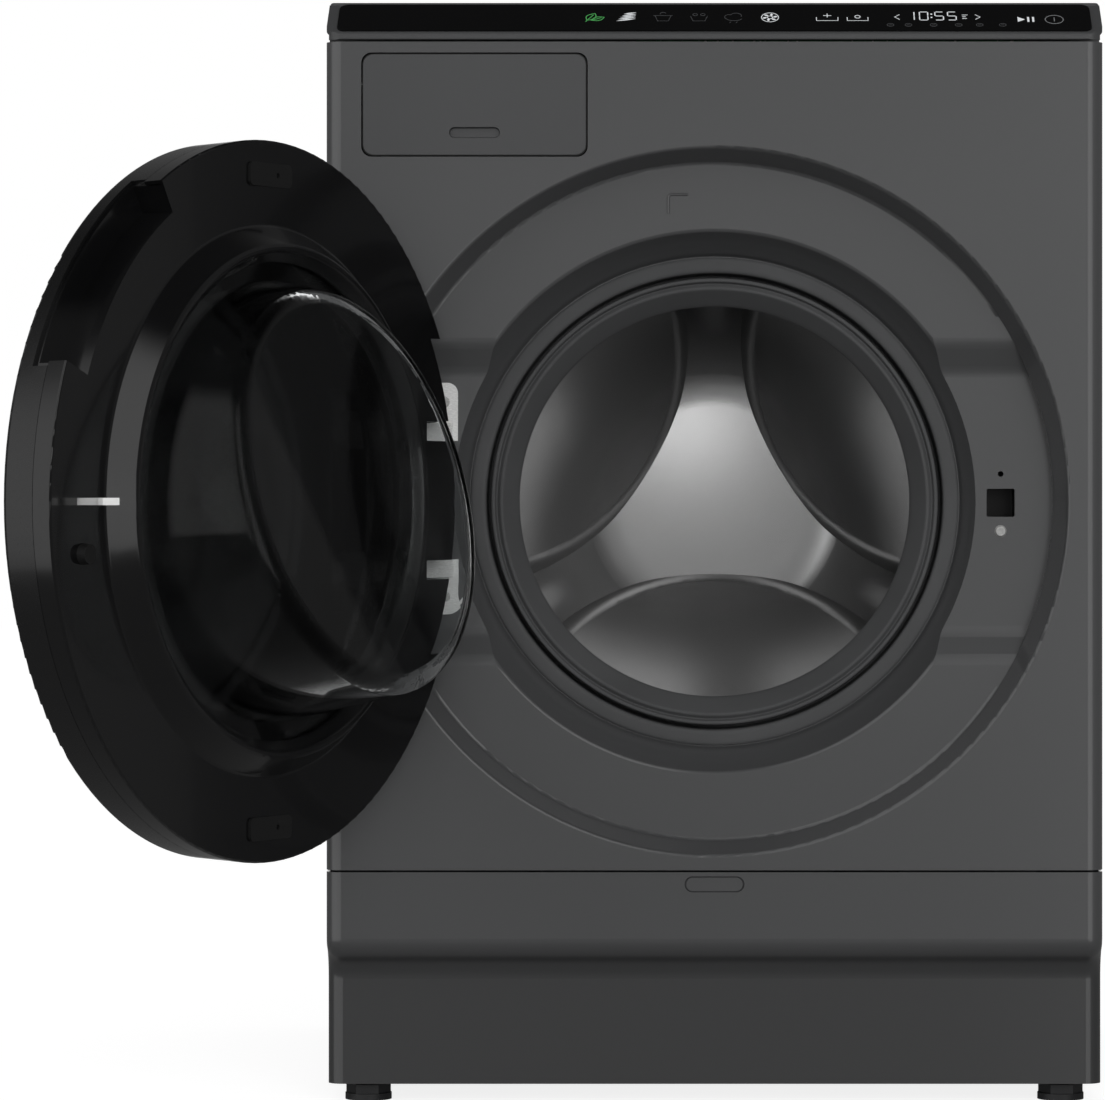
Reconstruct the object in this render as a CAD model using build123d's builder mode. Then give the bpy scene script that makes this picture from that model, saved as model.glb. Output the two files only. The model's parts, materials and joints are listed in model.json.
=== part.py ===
from build123d import *
import os
from math import asin, cos, degrees, radians, sin, sqrt

# Front load washing machine, in millimetres. X runs to the right, Y to the back and Z up.
# The origin lies on the floor, midway between the four feet. The door rests open.
os.makedirs("parts", exist_ok=True)

# Cabinet
cab_width = 598.0
top_space = 388.0
rear_gap = 28.0
sheet = 1.0
wall = 2.5
running_gap = 0.4
seam = 1.5
side_bottom = 20.0
side_front_depth = 17.0
side_flange = 14.0
side_emboss = 3.0
side_emboss_margin = 70.0
emboss_draft = 30.0
top_thickness = 18.0
top_front_depth = 46.0
top_edge_radius = 4.0
top_rim_width = 28.0
brace_height = 20.0
brace_width = 30.0
rear_emboss_radius = 165.0
rear_emboss_height = 6.0

# Front panel and the recess round the door
panel_bottom = 180.5
panel_top_drop = 34.5
panel_edge_radius = 12.0
panel_flange = 15.0
recess_edge_radius = 271.9
recess_taper = 9.8
recess_depth = 24.0
recess_edge_round = 3.0
cone_top_radius = 209.4
cone_taper = 18.1
pad_depth = 36.0
pad_half_height = 101.0
pad_bevel = 21.0
pad_blend = 18.0
lip_depth = 56.0
lip_inner_radius = 181.2

# Control fascia
fascia_nose_height = 6.5
fascia_glass_front = 4.5
fascia_glass_back = 42.0
fascia_glass_rise = 24.0
fascia_glass_drop = 2.5
fascia_end_margin = 8.0
fascia_end_radius = 7.0
fascia_edge_round = 1.0
fascia_nose_round = 3.0
fascia_top_round = 1.5
glass_thickness = 2.0
board_width = 300.0
board_length = 34.0
board_thickness = 1.6
board_drop = 4.0
board_centre_x = 90.0

# Plinth
plinth_bottom = 14.0
plinth_step_top = 128.0
plinth_step_bottom = 95.0
plinth_set_back = 20.0
plinth_return = 26.0
plinth_slot_length = 46.0
plinth_slot_width = 12.3
plinth_slot_depth = 1.2
plinth_slot_drop = 9.3

# Feet and base
foot_x = 269.0
foot_inset = 45.0
foot_pad_radius = 18.0
foot_pad_height = 5.0
foot_hex_across = 30.0
foot_hex_height = 7.0
foot_stud_radius = 5.0
foot_stud_top = 48.0
foot_fit = 0.05
base_front_depth = 30.0
base_bottom = 20.0
base_height = 34.0
base_boss_radius = 12.0

# Detergent drawer and its housing
drawer_side_margin = 28.2
drawer_top_margin = 9.1
drawer_width = 172.6
drawer_height = 78.6
drawer_corner = 8.0
drawer_front_thickness = 6.0
drawer_grip_width = 39.3
drawer_grip_height = 8.5
drawer_grip_depth = 4.0
drawer_grip_rise = 17.8
drawer_grip_draft = 12.0
tray_length = 250.0
tray_margin = 8.0
tray_depth = 58.0
tray_corner = 3.0
housing_length = 285.0
housing_wall = 2.0
rail_width = 6.0
rail_spacing = 110.0
softener_width = 44.0
prewash_width = 46.0

# Door, drawn shut in its own frame and held open at its hinge
door_open_angle = 119.4
hinge_x = -232.9
hinge_depth = -8.0
door_radius = 261.2
door_edge_radius = 259.0
door_inner_depth = 21.5
door_thickness = 42.4
door_split_depth = 6.0
door_wall = 3.0
plug_radius = 199.0
plug_height = 17.0
plug_draft = 14.0
plug_crest = 4.5
glass_hole_radius = 173.0
glass_seat_drop = 7.0
cover_radius = 205.0
cover_edge_depth = -27.0
cover_dome = 15.0
cover_ledge = 8.0
cover_thickness = 3.0
bowl_radius = 160.8
bowl_taper = 0.216
bowl_wall = 5.0
bowl_end_depth = 104.0
bowl_end_rise = 8.0
bowl_end_slope = 0.255
bowl_end_round = 12.0
bowl_flange_radius = 187.0
bowl_flange_thickness = 4.7
grip_inner_radius = 235.5
grip_depth = 26.0
grip_start_angle = 21.6
grip_end_angle = 59.5
notch_radius = 248.0
notch_half_height = 124.0
notch_depth = 2.0
frame_fillet = 3.0
rim_corner = 4.0

# Door hinge
hinge_pin_radius = 4.0
hinge_barrel_radius = 7.5
hinge_barrel_length = 14.0
hinge_barrel_height = 54.0
hinge_fit = 0.05
hinge_knuckle_length = 7.0
hinge_knuckle_gap = 0.5
bracket_width = 22.0
bracket_half_height = 92.0
bracket_thickness = 3.0
bracket_corner = 8.0
bracket_screw_height = 77.0
leaf_thickness = 3.0
leaf_width = 22.0
leaf_half_height = 84.0

# Door catch and lock
hook_x = 222.0
hook_thickness = 5.0
hook_width = 8.0
hook_reach = 29.0
hook_nose = 4.0
hook_pin_radius = 2.5
hook_pivot_depth = 6.0
hook_pin_length = 18.0
hook_slot_margin = 5.0
lock_slot_size = 21.8
lock_slot_drop = 1.0
lock_width = 34.0
lock_height = 76.0
lock_depth = 34.0
lock_wall = 3.0
lock_screw_drop = 23.0
lock_hole_rise = 21.4
lock_hole_radius = 2.2
screw_head_radius = 4.7
screw_head_height = 2.4
screw_head_draft = 25.0
screw_shank_radius = 2.0
screw_shank_length = 9.0
screw_drive_depth = 1.2
rear_screw_count = 4
buffer_radius = 7.5
buffer_height = 6.0
buffer_draft = 8.0
buffer_drop = 36.0
buffer_x = 224.0
pad_length = 54.0
pad_width = 17.0
pad_corner = 4.0
pad_height = 2.0
pad_low_height = 1.0
pad_step_length = 22.0
pad_hole_radius = 2.0
pad_hole_shift = 9.0
pad_offset = 236.0

# Door seal
seal_lip_height = 3.2
seal_lip_overlap = 9.0
seal_wall = 3.2
seal_fold_width = 3.2
seal_fold_depth = 78.0
seal_mouth_radius = 152.4
seal_mouth_depth = 70.0
seal_bellows_radius = 196.0
seal_bead_length = 13.0
seal_grip_length = 5.0
seal_groove = 2.0

# Drum
drum_radius = 240.0
drum_sheet = 1.0
drum_front_gap = 8.0
drum_length = 304.0
drum_skirt = 16.0
drum_mouth_radius = 167.5
drum_front_round = 5.4
drum_mouth_round = 4.0
drum_roll_length = 8.0
lobe_radius = 190.0
lobe_start = 58.0
lobe_tilt = 13.0
lobe_flank = 40.0
lobe_blend = 25.0
lobe_edge_radius = 226.0
lobe_count = 3
star_rise = 10.0
star_flat_radius = 95.0
star_bend = 400.0
back_stock = 50.0
lifter_length = 250.0
lifter_base = 58.0
lifter_crest = 20.0
lifter_height = 48.0
spider_length = 30.0
spider_hub_radius = 36.0
spider_arm_root = 34.0
spider_arm_tip = 24.0
spider_thickness = 14.0
spider_reach = 222.0
shaft_front_radius = 15.0
shaft_rear_radius = 12.5

# Tub
tub_radius = 258.0
tub_wall = 4.0
tub_front_depth = 114.0
tub_split_depth = 300.0
tub_back_gap = 14.0
tub_flange_width = 12.0
tub_flange_thickness = 6.0
tub_collar_length = 16.0
tub_bolt_count = 12
tub_bolt_radius = 3.0
tub_bolt_head = 5.5
tub_rib_count = 12
tub_rib_height = 20.0
tub_rib_width = 4.0
hub_radius = 40.0
hub_gap = 10.0
hub_length = 54.0
bearing_front_radius = 31.0
bearing_front_width = 16.0
bearing_rear_radius = 26.0
bearing_rear_width = 15.0
bearing_fit = 0.05
seal_ring_width = 8.0
ballast_thickness = 26.0
ballast_inner_radius = 205.0
ballast_outer_radius = 256.0
ballast_top_left = -80.0
ballast_top_right = 200.0
ballast_top_rise = 64.0
ballast_top_gap = 10.0
ballast_top_length = 160.0
heater_rod_radius = 4.0
heater_half_gap = 30.0
heater_orbit = 250.0
heater_length = 150.0
heater_plate_thickness = 4.0
heater_plate_height = 22.0

# Drive
pulley_radius = 140.0
pulley_gap = 4.0
pulley_width = 16.0
pulley_rim = 8.0
pulley_web = 5.4
washer_radius = 18.0
pulley_hub_radius = 26.0
pulley_window_count = 6
pulley_window_radius = 24.0
pulley_window_orbit = 82.0
bolt_head_radius = 10.0
bolt_head_height = 7.0
motor_x = -55.0
motor_drop = 352.0
motor_clearance = 26.5
motor_radius = 62.0
motor_standoff = 23.0
motor_length = 125.0
motor_fin_count = 16
motor_fin_depth = 3.0
motor_fin_width = 4.0
motor_shaft_radius = 6.0
motor_pulley_radius = 10.0
belt_width = 12.0
belt_thickness = 4.0

# Suspension
spring_x = 205.0
spring_set_back = 20.0
spring_radius = 12.0
spring_wire = 3.0
spring_lug_length = 18.85
damper_x = 150.0
damper_set_back = 30.0
damper_radius = 17.0
damper_length = 141.5
damper_rod_radius = 5.0
damper_overlap = 75.0
damper_lug_length = 13.2
damper_fit = 0.3
lug_width = 20.0

# Water ways
sump_x = 120.0
sump_depth = 150.0
sump_radius = 22.0
sump_length = 31.1
sump_hose_wall = 2.5
sump_rib_count = 5
sump_rib_height = 4.0
sump_overlap = 11.3
pump_height = 88.0
pump_radius = 34.0
pump_front_depth = 50.0
pump_length = 125.0
pump_motor_radius = 28.0
pump_motor_length = 55.0
pump_inlet_rise = 50.0
pump_outlet_length = 22.0
pump_stand_width = 44.0
pump_stand_length = 70.0
cap_radius = 31.0
cap_thickness = 9.0
cap_grip_length = 44.0
cap_grip_width = 8.0
cap_grip_height = 6.0
cap_grip_round = 2.6
cap_grip_draft = 5.0
cap_plug_length = 20.0
cap_fit = 0.4
hose_radius = 11.0
hose_bore = 8.5
hose_x = 235.0
hose_rear_gap = 32.0
hose_low = 60.0
hose_bend = 33.0
hose_top_bend = 22.0
outlet_drop = 90.0
outlet_radius = 10.0
outlet_length = 16.0
outlet_flange_radius = 20.0
outlet_flange_thickness = 3.0
inlet_x = -150.0
inlet_drop = 72.0
inlet_thread_radius = 13.2
inlet_bore_radius = 8.0
inlet_length = 18.0
valve_width = 40.0
valve_height = 46.0
valve_length = 48.0
fill_hose_radius = 9.0
fill_hose_bore = 6.5
transit_x = 150.0
transit_low = 300.0
transit_high = 640.0
transit_radius = 9.0
transit_flange = 13.0
transit_flange_height = 2.0
transit_depth = 12.0
transit_slot_length = 13.5

# Values that follow from the sizes above
drum_front_depth = tub_front_depth + tub_wall + drum_front_gap
drum_back_depth = drum_front_depth + drum_length
spider_depth = drum_back_depth + spider_length
hub_front_depth = spider_depth + hub_gap
hub_rear_depth = hub_front_depth + hub_length
tub_back_depth = spider_depth + tub_back_gap + tub_wall
pulley_depth = hub_rear_depth + pulley_gap
motor_rear_depth = pulley_depth - motor_standoff
motor_front_depth = motor_rear_depth - motor_length
cab_depth = pulley_depth + pulley_width + sheet + bolt_head_height + rear_gap
base_floor = base_bottom + sheet + wall
motor_height = base_floor + motor_clearance + motor_radius
axis_height = motor_height + motor_drop
cab_height = axis_height + top_space
side_x = cab_width / 2
front_y = -cab_depth / 2
panel_top = cab_height - panel_top_drop
fascia_glass_high = cab_height - fascia_glass_drop
fascia_glass_low = fascia_glass_high - fascia_glass_rise
drawer_top = panel_top - drawer_top_margin
drawer_bottom = drawer_top - drawer_height
drawer_x = drawer_side_margin + drawer_width / 2 - side_x
drawer_z = drawer_top - drawer_height / 2
bracket_x = -plug_radius - bracket_width / 2
hose_rear_depth = cab_depth - hose_rear_gap
outlet_height = cab_height - outlet_drop
inlet_height = cab_height - inlet_drop
recess_floor_radius = recess_edge_radius - recess_taper
cone_bottom_radius = cone_top_radius - cone_taper
door_outer_depth = door_inner_depth - door_thickness
crest_depth = door_inner_depth + plug_height
side_top = cab_height - top_thickness
plinth_back = plinth_set_back + plinth_return + seam
tub_outer_radius = tub_radius + tub_wall
ballast_top_height = axis_height + tub_outer_radius + ballast_top_rise
ballast_top_front = tub_split_depth - ballast_top_gap - ballast_top_length
spring_depth = tub_split_depth + spring_set_back
damper_depth = tub_split_depth + damper_set_back
spring_bottom = axis_height + sqrt(tub_outer_radius**2 - spring_x**2) + spring_lug_length
damper_rod_top = axis_height - sqrt(tub_outer_radius**2 - damper_x**2) - damper_lug_length
damper_top = base_floor + damper_length
damper_rod_bottom = damper_top - damper_overlap
sump_bottom = axis_height - sqrt(tub_outer_radius**2 - sump_x**2) - sump_length
pump_inlet_top = pump_height + pump_inlet_rise
centre = Vector(0, front_y, axis_height)
drum_axis = Axis(centre, (0, 1, 0))
drum_section = Plane(origin=centre, x_dir=(1, 0, 0), z_dir=(0, 0, 1))
swing = radians(door_open_angle)
door_u = Vector(cos(swing), -sin(swing), 0)
door_w = Vector(sin(swing), cos(swing), 0)
up = Vector(0, 0, 1)
hinge_point = Vector(hinge_x, front_y + hinge_depth, axis_height)
door_origin = hinge_point - door_u * hinge_x - door_w * hinge_depth
door_axis = Axis(door_origin, door_w)
door_section = Plane(origin=door_origin, x_dir=door_u, z_dir=up)
star_angles = [90 + 360 / lobe_count * i for i in range(lobe_count)]


def front_plane(depth):
    """Upright plane facing the front, depth behind the front face, with X and Z as its axes."""
    return Plane(origin=(0, front_y + depth, 0), x_dir=(1, 0, 0), z_dir=(0, -1, 0))


def level_plane(height):
    """Level plane at a height, with X across and depth behind the front face as its axes."""
    return Plane(origin=(0, front_y, height), x_dir=(1, 0, 0), z_dir=(0, 0, 1))


def side_plane(x):
    """Upright plane facing right at x, with depth behind the front face and Z as its axes."""
    return Plane(origin=(x, front_y, 0), x_dir=(0, 1, 0), z_dir=(1, 0, 0))


def axis_plane(depth):
    """Upright plane facing the front, centred on the drum's axis."""
    return Plane(origin=centre + Vector(0, depth, 0), x_dir=(1, 0, 0), z_dir=(0, -1, 0))


def door_plane(depth):
    """Plane across the door at a depth, facing out of the machine when the door is shut."""
    return Plane(origin=door_origin + door_w * depth, x_dir=door_u, z_dir=-door_w)


def door_level(height):
    """Level plane in the door's frame, at a height above its centre."""
    return Plane(origin=door_origin + up * height, x_dir=door_u, z_dir=up)


def save(piece, name):
    """Label a finished piece and write it out."""
    piece.part.label = name
    export_step(piece.part, f"parts/{name}.step")


def recess_form(grow):
    """Air inside the door recess, grown on every side to give the back of the pressing."""
    rim = recess_edge_radius + 2 * recess_edge_round
    floor_radius = recess_floor_radius + grow
    pad_end = pad_half_height + 2 * pad_bevel
    with BuildPart() as pads:
        with BuildSketch(Plane(origin=centre, x_dir=(0, 1, 0), z_dir=(1, 0, 0))):
            with BuildLine():
                slope = FilletPolyline(
                    (recess_depth - recess_edge_round, pad_end),
                    (recess_depth + grow, pad_end),
                    (recess_depth + grow, pad_half_height + pad_bevel + grow),
                    (pad_depth + grow, pad_half_height + grow),
                    (pad_depth + grow, -pad_half_height - grow),
                    (recess_depth + grow, -pad_half_height - pad_bevel - grow),
                    (recess_depth + grow, -pad_end),
                    (recess_depth - recess_edge_round, -pad_end),
                    radius=[0, pad_blend, pad_blend, pad_blend, pad_blend, 0],
                )
                Line(slope @ 1, slope @ 0)
            make_face()
        extrude(amount=recess_edge_radius, both=True)
        with BuildSketch(axis_plane(0)):
            Circle(floor_radius)
        extrude(amount=-lip_depth, mode=Mode.INTERSECT)
    with BuildPart() as form:
        with BuildSketch(drum_section):
            with BuildLine():
                FilletPolyline(
                    (rim, grow),
                    (recess_edge_radius + grow, grow),
                    (floor_radius, recess_depth + grow),
                    (cone_top_radius + grow, recess_depth + grow),
                    (cone_bottom_radius + grow, lip_depth + grow),
                    (0, lip_depth + grow),
                    radius=[recess_edge_round, recess_edge_round, recess_edge_round, sheet],
                )
                Polyline(
                    (0, lip_depth + grow),
                    (0, -recess_edge_round),
                    (rim, -recess_edge_round),
                    (rim, grow),
                )
            make_face()
        revolve(axis=drum_axis)
        add(pads.part)
    return form.part


def plinth_form(inset):
    """Solid under the plinth's skin, drawn in from every face by the inset."""
    top = panel_bottom - seam - inset
    middle_depth = plinth_set_back / 2
    middle_height = (plinth_step_top + plinth_step_bottom) / 2
    back = plinth_set_back + plinth_return
    with BuildPart() as form:
        with BuildSketch(side_plane(0)):
            with BuildLine():
                upper = Line((inset, top), (inset, plinth_step_top))
                first = TangentArc(upper @ 1, (inset + middle_depth, middle_height), tangent=upper % 1)
                second = TangentArc(
                    first @ 1, (inset + plinth_set_back, plinth_step_bottom), tangent=first % 1
                )
                Polyline(
                    second @ 1,
                    (inset + plinth_set_back, plinth_bottom - inset),
                    (back + inset, plinth_bottom - inset),
                    (back + inset, top),
                    upper @ 0,
                )
            make_face()
        extrude(amount=side_x - inset, both=True)
        corners = form.edges().filter_by(Axis.Z).group_by(Axis.Y)[0]
        fillet(corners, panel_edge_radius - inset)
    return form.part


def panel_form(inset):
    """Solid under the front panel's skin, drawn in from every face by the inset."""
    with BuildPart() as form:
        with BuildSketch(front_plane(inset)):
            with Locations((0, (panel_top + panel_bottom) / 2)):
                Rectangle(cab_width - 2 * inset, panel_top - panel_bottom - 2 * inset)
        extrude(amount=-panel_flange)
        corners = form.edges().filter_by(Axis.Z).group_by(Axis.Y)[0]
        fillet(corners, panel_edge_radius - inset)
    return form.part


# Front panel: one pressing with folded sides, the door recess and the drawer opening
lock_z = axis_height - lock_slot_drop
screw_z = axis_height - lock_screw_drop
recess_back = recess_form(sheet)
recess_air = recess_form(0)
with BuildPart() as front_panel:
    add(panel_form(0))
    add(panel_form(sheet), mode=Mode.SUBTRACT)
    add(recess_back, mode=Mode.SUBTRACT)
    add(recess_back)
    add(recess_air, mode=Mode.SUBTRACT)
    with BuildSketch(axis_plane(0)):
        Circle(lip_inner_radius)
    extrude(amount=-2 * lip_depth, mode=Mode.SUBTRACT)
    with BuildSketch(front_plane(0)):
        with Locations((drawer_x, drawer_z)):
            RectangleRounded(drawer_width + seam, drawer_height + seam, drawer_corner)
    extrude(amount=-panel_flange, mode=Mode.SUBTRACT)
    with BuildSketch(front_plane(recess_depth)):
        with Locations((hook_x, lock_z)):
            RectangleRounded(lock_slot_size, lock_slot_size, seam)
        with Locations((hook_x, axis_height + lock_hole_rise), (hook_x, screw_z)):
            Circle(lock_hole_radius)
        with Locations(
            (bracket_x, axis_height + bracket_screw_height),
            (bracket_x, axis_height - bracket_screw_height),
        ):
            Circle(lock_hole_radius)
    extrude(amount=-lip_depth + recess_depth, mode=Mode.SUBTRACT)
save(front_panel, "front_panel")

# Plinth: a moulded skin that clips under the front panel, with a finger slot at its top edge
with BuildPart() as plinth:
    add(plinth_form(0))
    add(plinth_form(wall), mode=Mode.SUBTRACT)
    with BuildSketch(front_plane(0)):
        with Locations((0, panel_bottom - seam - plinth_slot_drop)):
            SlotOverall(plinth_slot_length, plinth_slot_width)
    extrude(amount=-plinth_slot_depth, mode=Mode.SUBTRACT)
save(plinth, "plinth")

# Control fascia: a moulded nose across the whole width, hollow behind
fascia_rise = fascia_glass_high - fascia_glass_low
fascia_run = fascia_glass_back - fascia_glass_front
fascia_length = sqrt(fascia_rise**2 + fascia_run**2)
fascia_normal = Vector(0, -fascia_rise / fascia_length, fascia_run / fascia_length)
fascia_middle = Vector(
    0,
    front_y + (fascia_glass_front + fascia_glass_back) / 2,
    (fascia_glass_low + fascia_glass_high) / 2,
)
fascia_back = top_front_depth - seam
fascia_bottom = panel_top + seam


def fascia_plane(lift):
    """Plane along the sloping control face, lifted off it, with X as its first axis."""
    return Plane(origin=fascia_middle + fascia_normal * lift, x_dir=(1, 0, 0), z_dir=fascia_normal)


with BuildPart() as control_fascia:
    with BuildSketch(side_plane(0)):
        with BuildLine():
            FilletPolyline(
                (fascia_back, fascia_bottom),
                (0, fascia_bottom),
                (0, fascia_bottom + fascia_nose_height),
                (fascia_glass_front, fascia_glass_low),
                (fascia_glass_back, fascia_glass_high),
                (fascia_back, fascia_glass_high),
                radius=[fascia_edge_round, fascia_nose_round, fascia_nose_round, fascia_top_round],
            )
            Line((fascia_back, fascia_glass_high), (fascia_back, fascia_bottom))
        make_face()
        with BuildLine():
            Polyline(
                (2 * wall, fascia_bottom - wall),
                (2 * wall, fascia_glass_low - wall),
                (fascia_back - wall, fascia_glass_high - 2 * wall),
                (fascia_back - wall, fascia_bottom - wall),
                close=True,
            )
        make_face(mode=Mode.SUBTRACT)
    extrude(amount=side_x, both=True)
    with BuildSketch(level_plane(fascia_bottom)):
        with Locations((0, cab_depth / 2)):
            RectangleRounded(cab_width, cab_depth, panel_edge_radius)
    extrude(amount=cab_height - fascia_bottom, mode=Mode.INTERSECT)
    with BuildSketch(fascia_plane(0)):
        RectangleRounded(cab_width - 2 * fascia_end_margin, fascia_length, fascia_end_radius)
    extrude(amount=glass_thickness / 2, both=True, mode=Mode.SUBTRACT)
save(control_fascia, "control_fascia")

# Touch glass let into the sloping face, and the control board under it
with BuildPart() as control_glass:
    with BuildSketch(fascia_plane(-glass_thickness / 2)):
        RectangleRounded(
            cab_width - 2 * fascia_end_margin - 2 * running_gap,
            fascia_length - 2 * running_gap,
            fascia_end_radius,
        )
    extrude(amount=glass_thickness)
save(control_glass, "control_glass")

with BuildPart() as control_board:
    with BuildSketch(fascia_plane(-board_drop - 2 * wall)):
        with Locations((board_centre_x, -wall)):
            Rectangle(board_width, board_length)
    extrude(amount=-board_thickness)
    with BuildSketch(fascia_plane(-board_drop - 2 * wall - board_thickness)):
        with Locations((board_centre_x - board_width / 4, -wall), (board_centre_x + board_width / 4, -wall)):
            Rectangle(board_length, board_length / 2)
    extrude(amount=-board_drop)
save(control_board, "control_board")

# Worktop
with BuildPart() as top_cover:
    with BuildSketch(level_plane(side_top)):
        with Locations((0, (top_front_depth + cab_depth) / 2)):
            RectangleRounded(cab_width, cab_depth - top_front_depth, top_edge_radius)
    extrude(amount=top_thickness)
    fillet(top_cover.faces().sort_by(Axis.Z)[-1].edges(), top_edge_radius / 2)
    with BuildSketch(level_plane(side_top)):
        with Locations((0, (top_front_depth + cab_depth) / 2)):
            Rectangle(cab_width - 2 * top_rim_width, cab_depth - top_front_depth - 2 * top_rim_width)
    extrude(amount=top_thickness / 2, mode=Mode.SUBTRACT)
save(top_cover, "top_cover")

# Side panels: sheets with folded edges and a shallow pressed field
side_height = side_top - side_bottom
side_length = cab_depth - side_front_depth
side_mid_depth = side_front_depth + side_length / 2
side_mid_height = side_bottom + side_height / 2
field_length = side_length - 2 * side_emboss_margin
field_height = side_height - 2 * side_emboss_margin
field_corner = side_emboss_margin / 2


def side_panel(hand):
    """One side of the cabinet: hand is -1 for the left and 1 for the right."""
    with BuildPart() as panel:
        with BuildSketch(side_plane(hand * side_x)):
            with Locations((side_mid_depth, side_mid_height)):
                Rectangle(side_length, side_height)
        extrude(amount=-hand * side_flange)
        with BuildSketch(side_plane(hand * (side_x - sheet))):
            with Locations((side_mid_depth, side_mid_height)):
                Rectangle(side_length - 2 * sheet, side_height - 2 * sheet)
        extrude(amount=-hand * side_flange, mode=Mode.SUBTRACT)
        with BuildSketch(side_plane(hand * (side_x - sheet))):
            with Locations((side_mid_depth, side_mid_height)):
                RectangleRounded(field_length + 2 * sheet, field_height + 2 * sheet, field_corner + sheet)
        extrude(amount=-hand * side_emboss)
        with BuildSketch(side_plane(hand * side_x)):
            with Locations((side_mid_depth, side_mid_height)):
                RectangleRounded(field_length, field_height, field_corner)
        extrude(amount=-hand * side_emboss, taper=emboss_draft, mode=Mode.SUBTRACT)
        with BuildSketch(side_plane(hand * side_x)):
            with Locations((top_front_depth / 2, side_top)):
                Rectangle(top_front_depth, 2 * (side_top - panel_top))
            with Locations((plinth_back / 2, panel_bottom / 2)):
                Rectangle(plinth_back, panel_bottom)
        extrude(amount=-hand * side_flange, mode=Mode.SUBTRACT)
    return panel


left_side_panel = side_panel(-1)
save(left_side_panel, "left_side_panel")
right_side_panel = side_panel(1)
save(right_side_panel, "right_side_panel")

# Rear panel: a sheet on the sides' folds, pressed out over the belt pulley
rear_depth = cab_depth + sheet
rear_width = cab_width - 4 * sheet
rear_bottom = side_bottom + 2 * sheet
rear_top = side_top - sheet
transit_points = [(x, z) for x in (-transit_x, transit_x) for z in (transit_low, transit_high)]
with BuildPart() as rear_panel:
    with BuildSketch(front_plane(rear_depth)):
        with Locations((0, (rear_bottom + rear_top) / 2)):
            Rectangle(rear_width, rear_top - rear_bottom)
    extrude(amount=sheet)
    with BuildSketch(front_plane(rear_depth)):
        with Locations((0, axis_height)):
            Circle(rear_emboss_radius)
    extrude(amount=-rear_emboss_height, taper=emboss_draft)
    with BuildSketch(front_plane(rear_depth - sheet)):
        with Locations((0, axis_height)):
            Circle(rear_emboss_radius - sheet)
    extrude(amount=-rear_emboss_height, taper=emboss_draft, mode=Mode.SUBTRACT)
    with BuildSketch(front_plane(rear_depth)):
        with Locations(*transit_points):
            Circle(transit_radius)
        with Locations((hose_x, outlet_height)):
            Circle(hose_radius + seam)
        with Locations((inlet_x, inlet_height)):
            Circle(inlet_thread_radius + seam)
    extrude(amount=2 * sheet, both=True, mode=Mode.SUBTRACT)
save(rear_panel, "rear_panel")

# Plugs that close the transit bolt holes
with BuildPart() as transit_plugs:
    with BuildSketch(front_plane(rear_depth)):
        with Locations(*transit_points):
            Circle(transit_flange)
    extrude(amount=-transit_flange_height)
    with BuildSketch(front_plane(rear_depth)):
        with Locations(*transit_points):
            Circle(transit_radius - running_gap)
            Circle(transit_radius - running_gap - wall, mode=Mode.SUBTRACT)
    extrude(amount=transit_depth)
    with BuildSketch(front_plane(rear_depth + transit_flange_height)):
        with Locations(*transit_points):
            SlotOverall(transit_slot_length, wall)
    extrude(amount=transit_flange_height / 2, mode=Mode.SUBTRACT)
save(transit_plugs, "transit_plugs")

# Cross rails between the sides, which carry the suspension springs
brace_top = side_top - sheet
brace_depths = [spring_depth, cab_depth - 2 * brace_width]
with BuildPart() as top_braces:
    for depth in brace_depths:
        with BuildSketch(side_plane(0)):
            with Locations((depth, brace_top - brace_height / 2)):
                Rectangle(brace_width, brace_height)
            with Locations((depth, brace_top - brace_height / 2 - sheet)):
                Rectangle(brace_width - 2 * sheet, brace_height, mode=Mode.SUBTRACT)
        extrude(amount=side_x - side_flange, both=True)
save(top_braces, "top_braces")

# Base tray with its foot bosses
foot_points = [(x, d) for x in (-foot_x, foot_x) for d in (foot_inset, cab_depth - foot_inset)]
base_rear_depth = cab_depth - 2 * sheet
base_length = base_rear_depth - base_front_depth
base_mid = (base_rear_depth + base_front_depth) / 2
base_width = cab_width - 2 * wall - 2 * seam
with BuildPart() as base_pan:
    with BuildSketch(level_plane(base_bottom + sheet)):
        with Locations((0, base_mid)):
            Rectangle(base_width, base_length)
    extrude(amount=base_height)
    with BuildSketch(level_plane(base_floor)):
        with Locations((0, base_mid)):
            Rectangle(base_width - 2 * wall, base_length - 2 * wall)
    extrude(amount=base_height, mode=Mode.SUBTRACT)
    with BuildSketch(level_plane(base_bottom + sheet)):
        with Locations(*foot_points):
            Circle(base_boss_radius)
    extrude(amount=base_height)
    with BuildSketch(level_plane(base_bottom)):
        with Locations(*foot_points):
            Circle(foot_stud_radius + foot_fit)
    extrude(amount=2 * base_height, mode=Mode.SUBTRACT)
save(base_pan, "base_pan")

# Levelling feet: a round pad, a hexagon for the spanner and a threaded stud
foot_names = ["foot_front_left", "foot_rear_left", "foot_front_right", "foot_rear_right"]
for foot_name, (x, depth) in zip(foot_names, foot_points):
    with BuildPart() as foot:
        with BuildSketch(level_plane(0)):
            with Locations((x, depth)):
                Circle(foot_pad_radius)
        extrude(amount=foot_pad_height)
        with BuildSketch(level_plane(foot_pad_height)):
            with Locations((x, depth)):
                RegularPolygon(foot_hex_across / 2, 6, major_radius=False)
        extrude(amount=foot_hex_height)
        with BuildSketch(level_plane(foot_pad_height + foot_hex_height)):
            with Locations((x, depth)):
                Circle(foot_stud_radius)
        extrude(amount=foot_stud_top - foot_pad_height - foot_hex_height)
    save(foot, foot_name)

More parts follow.
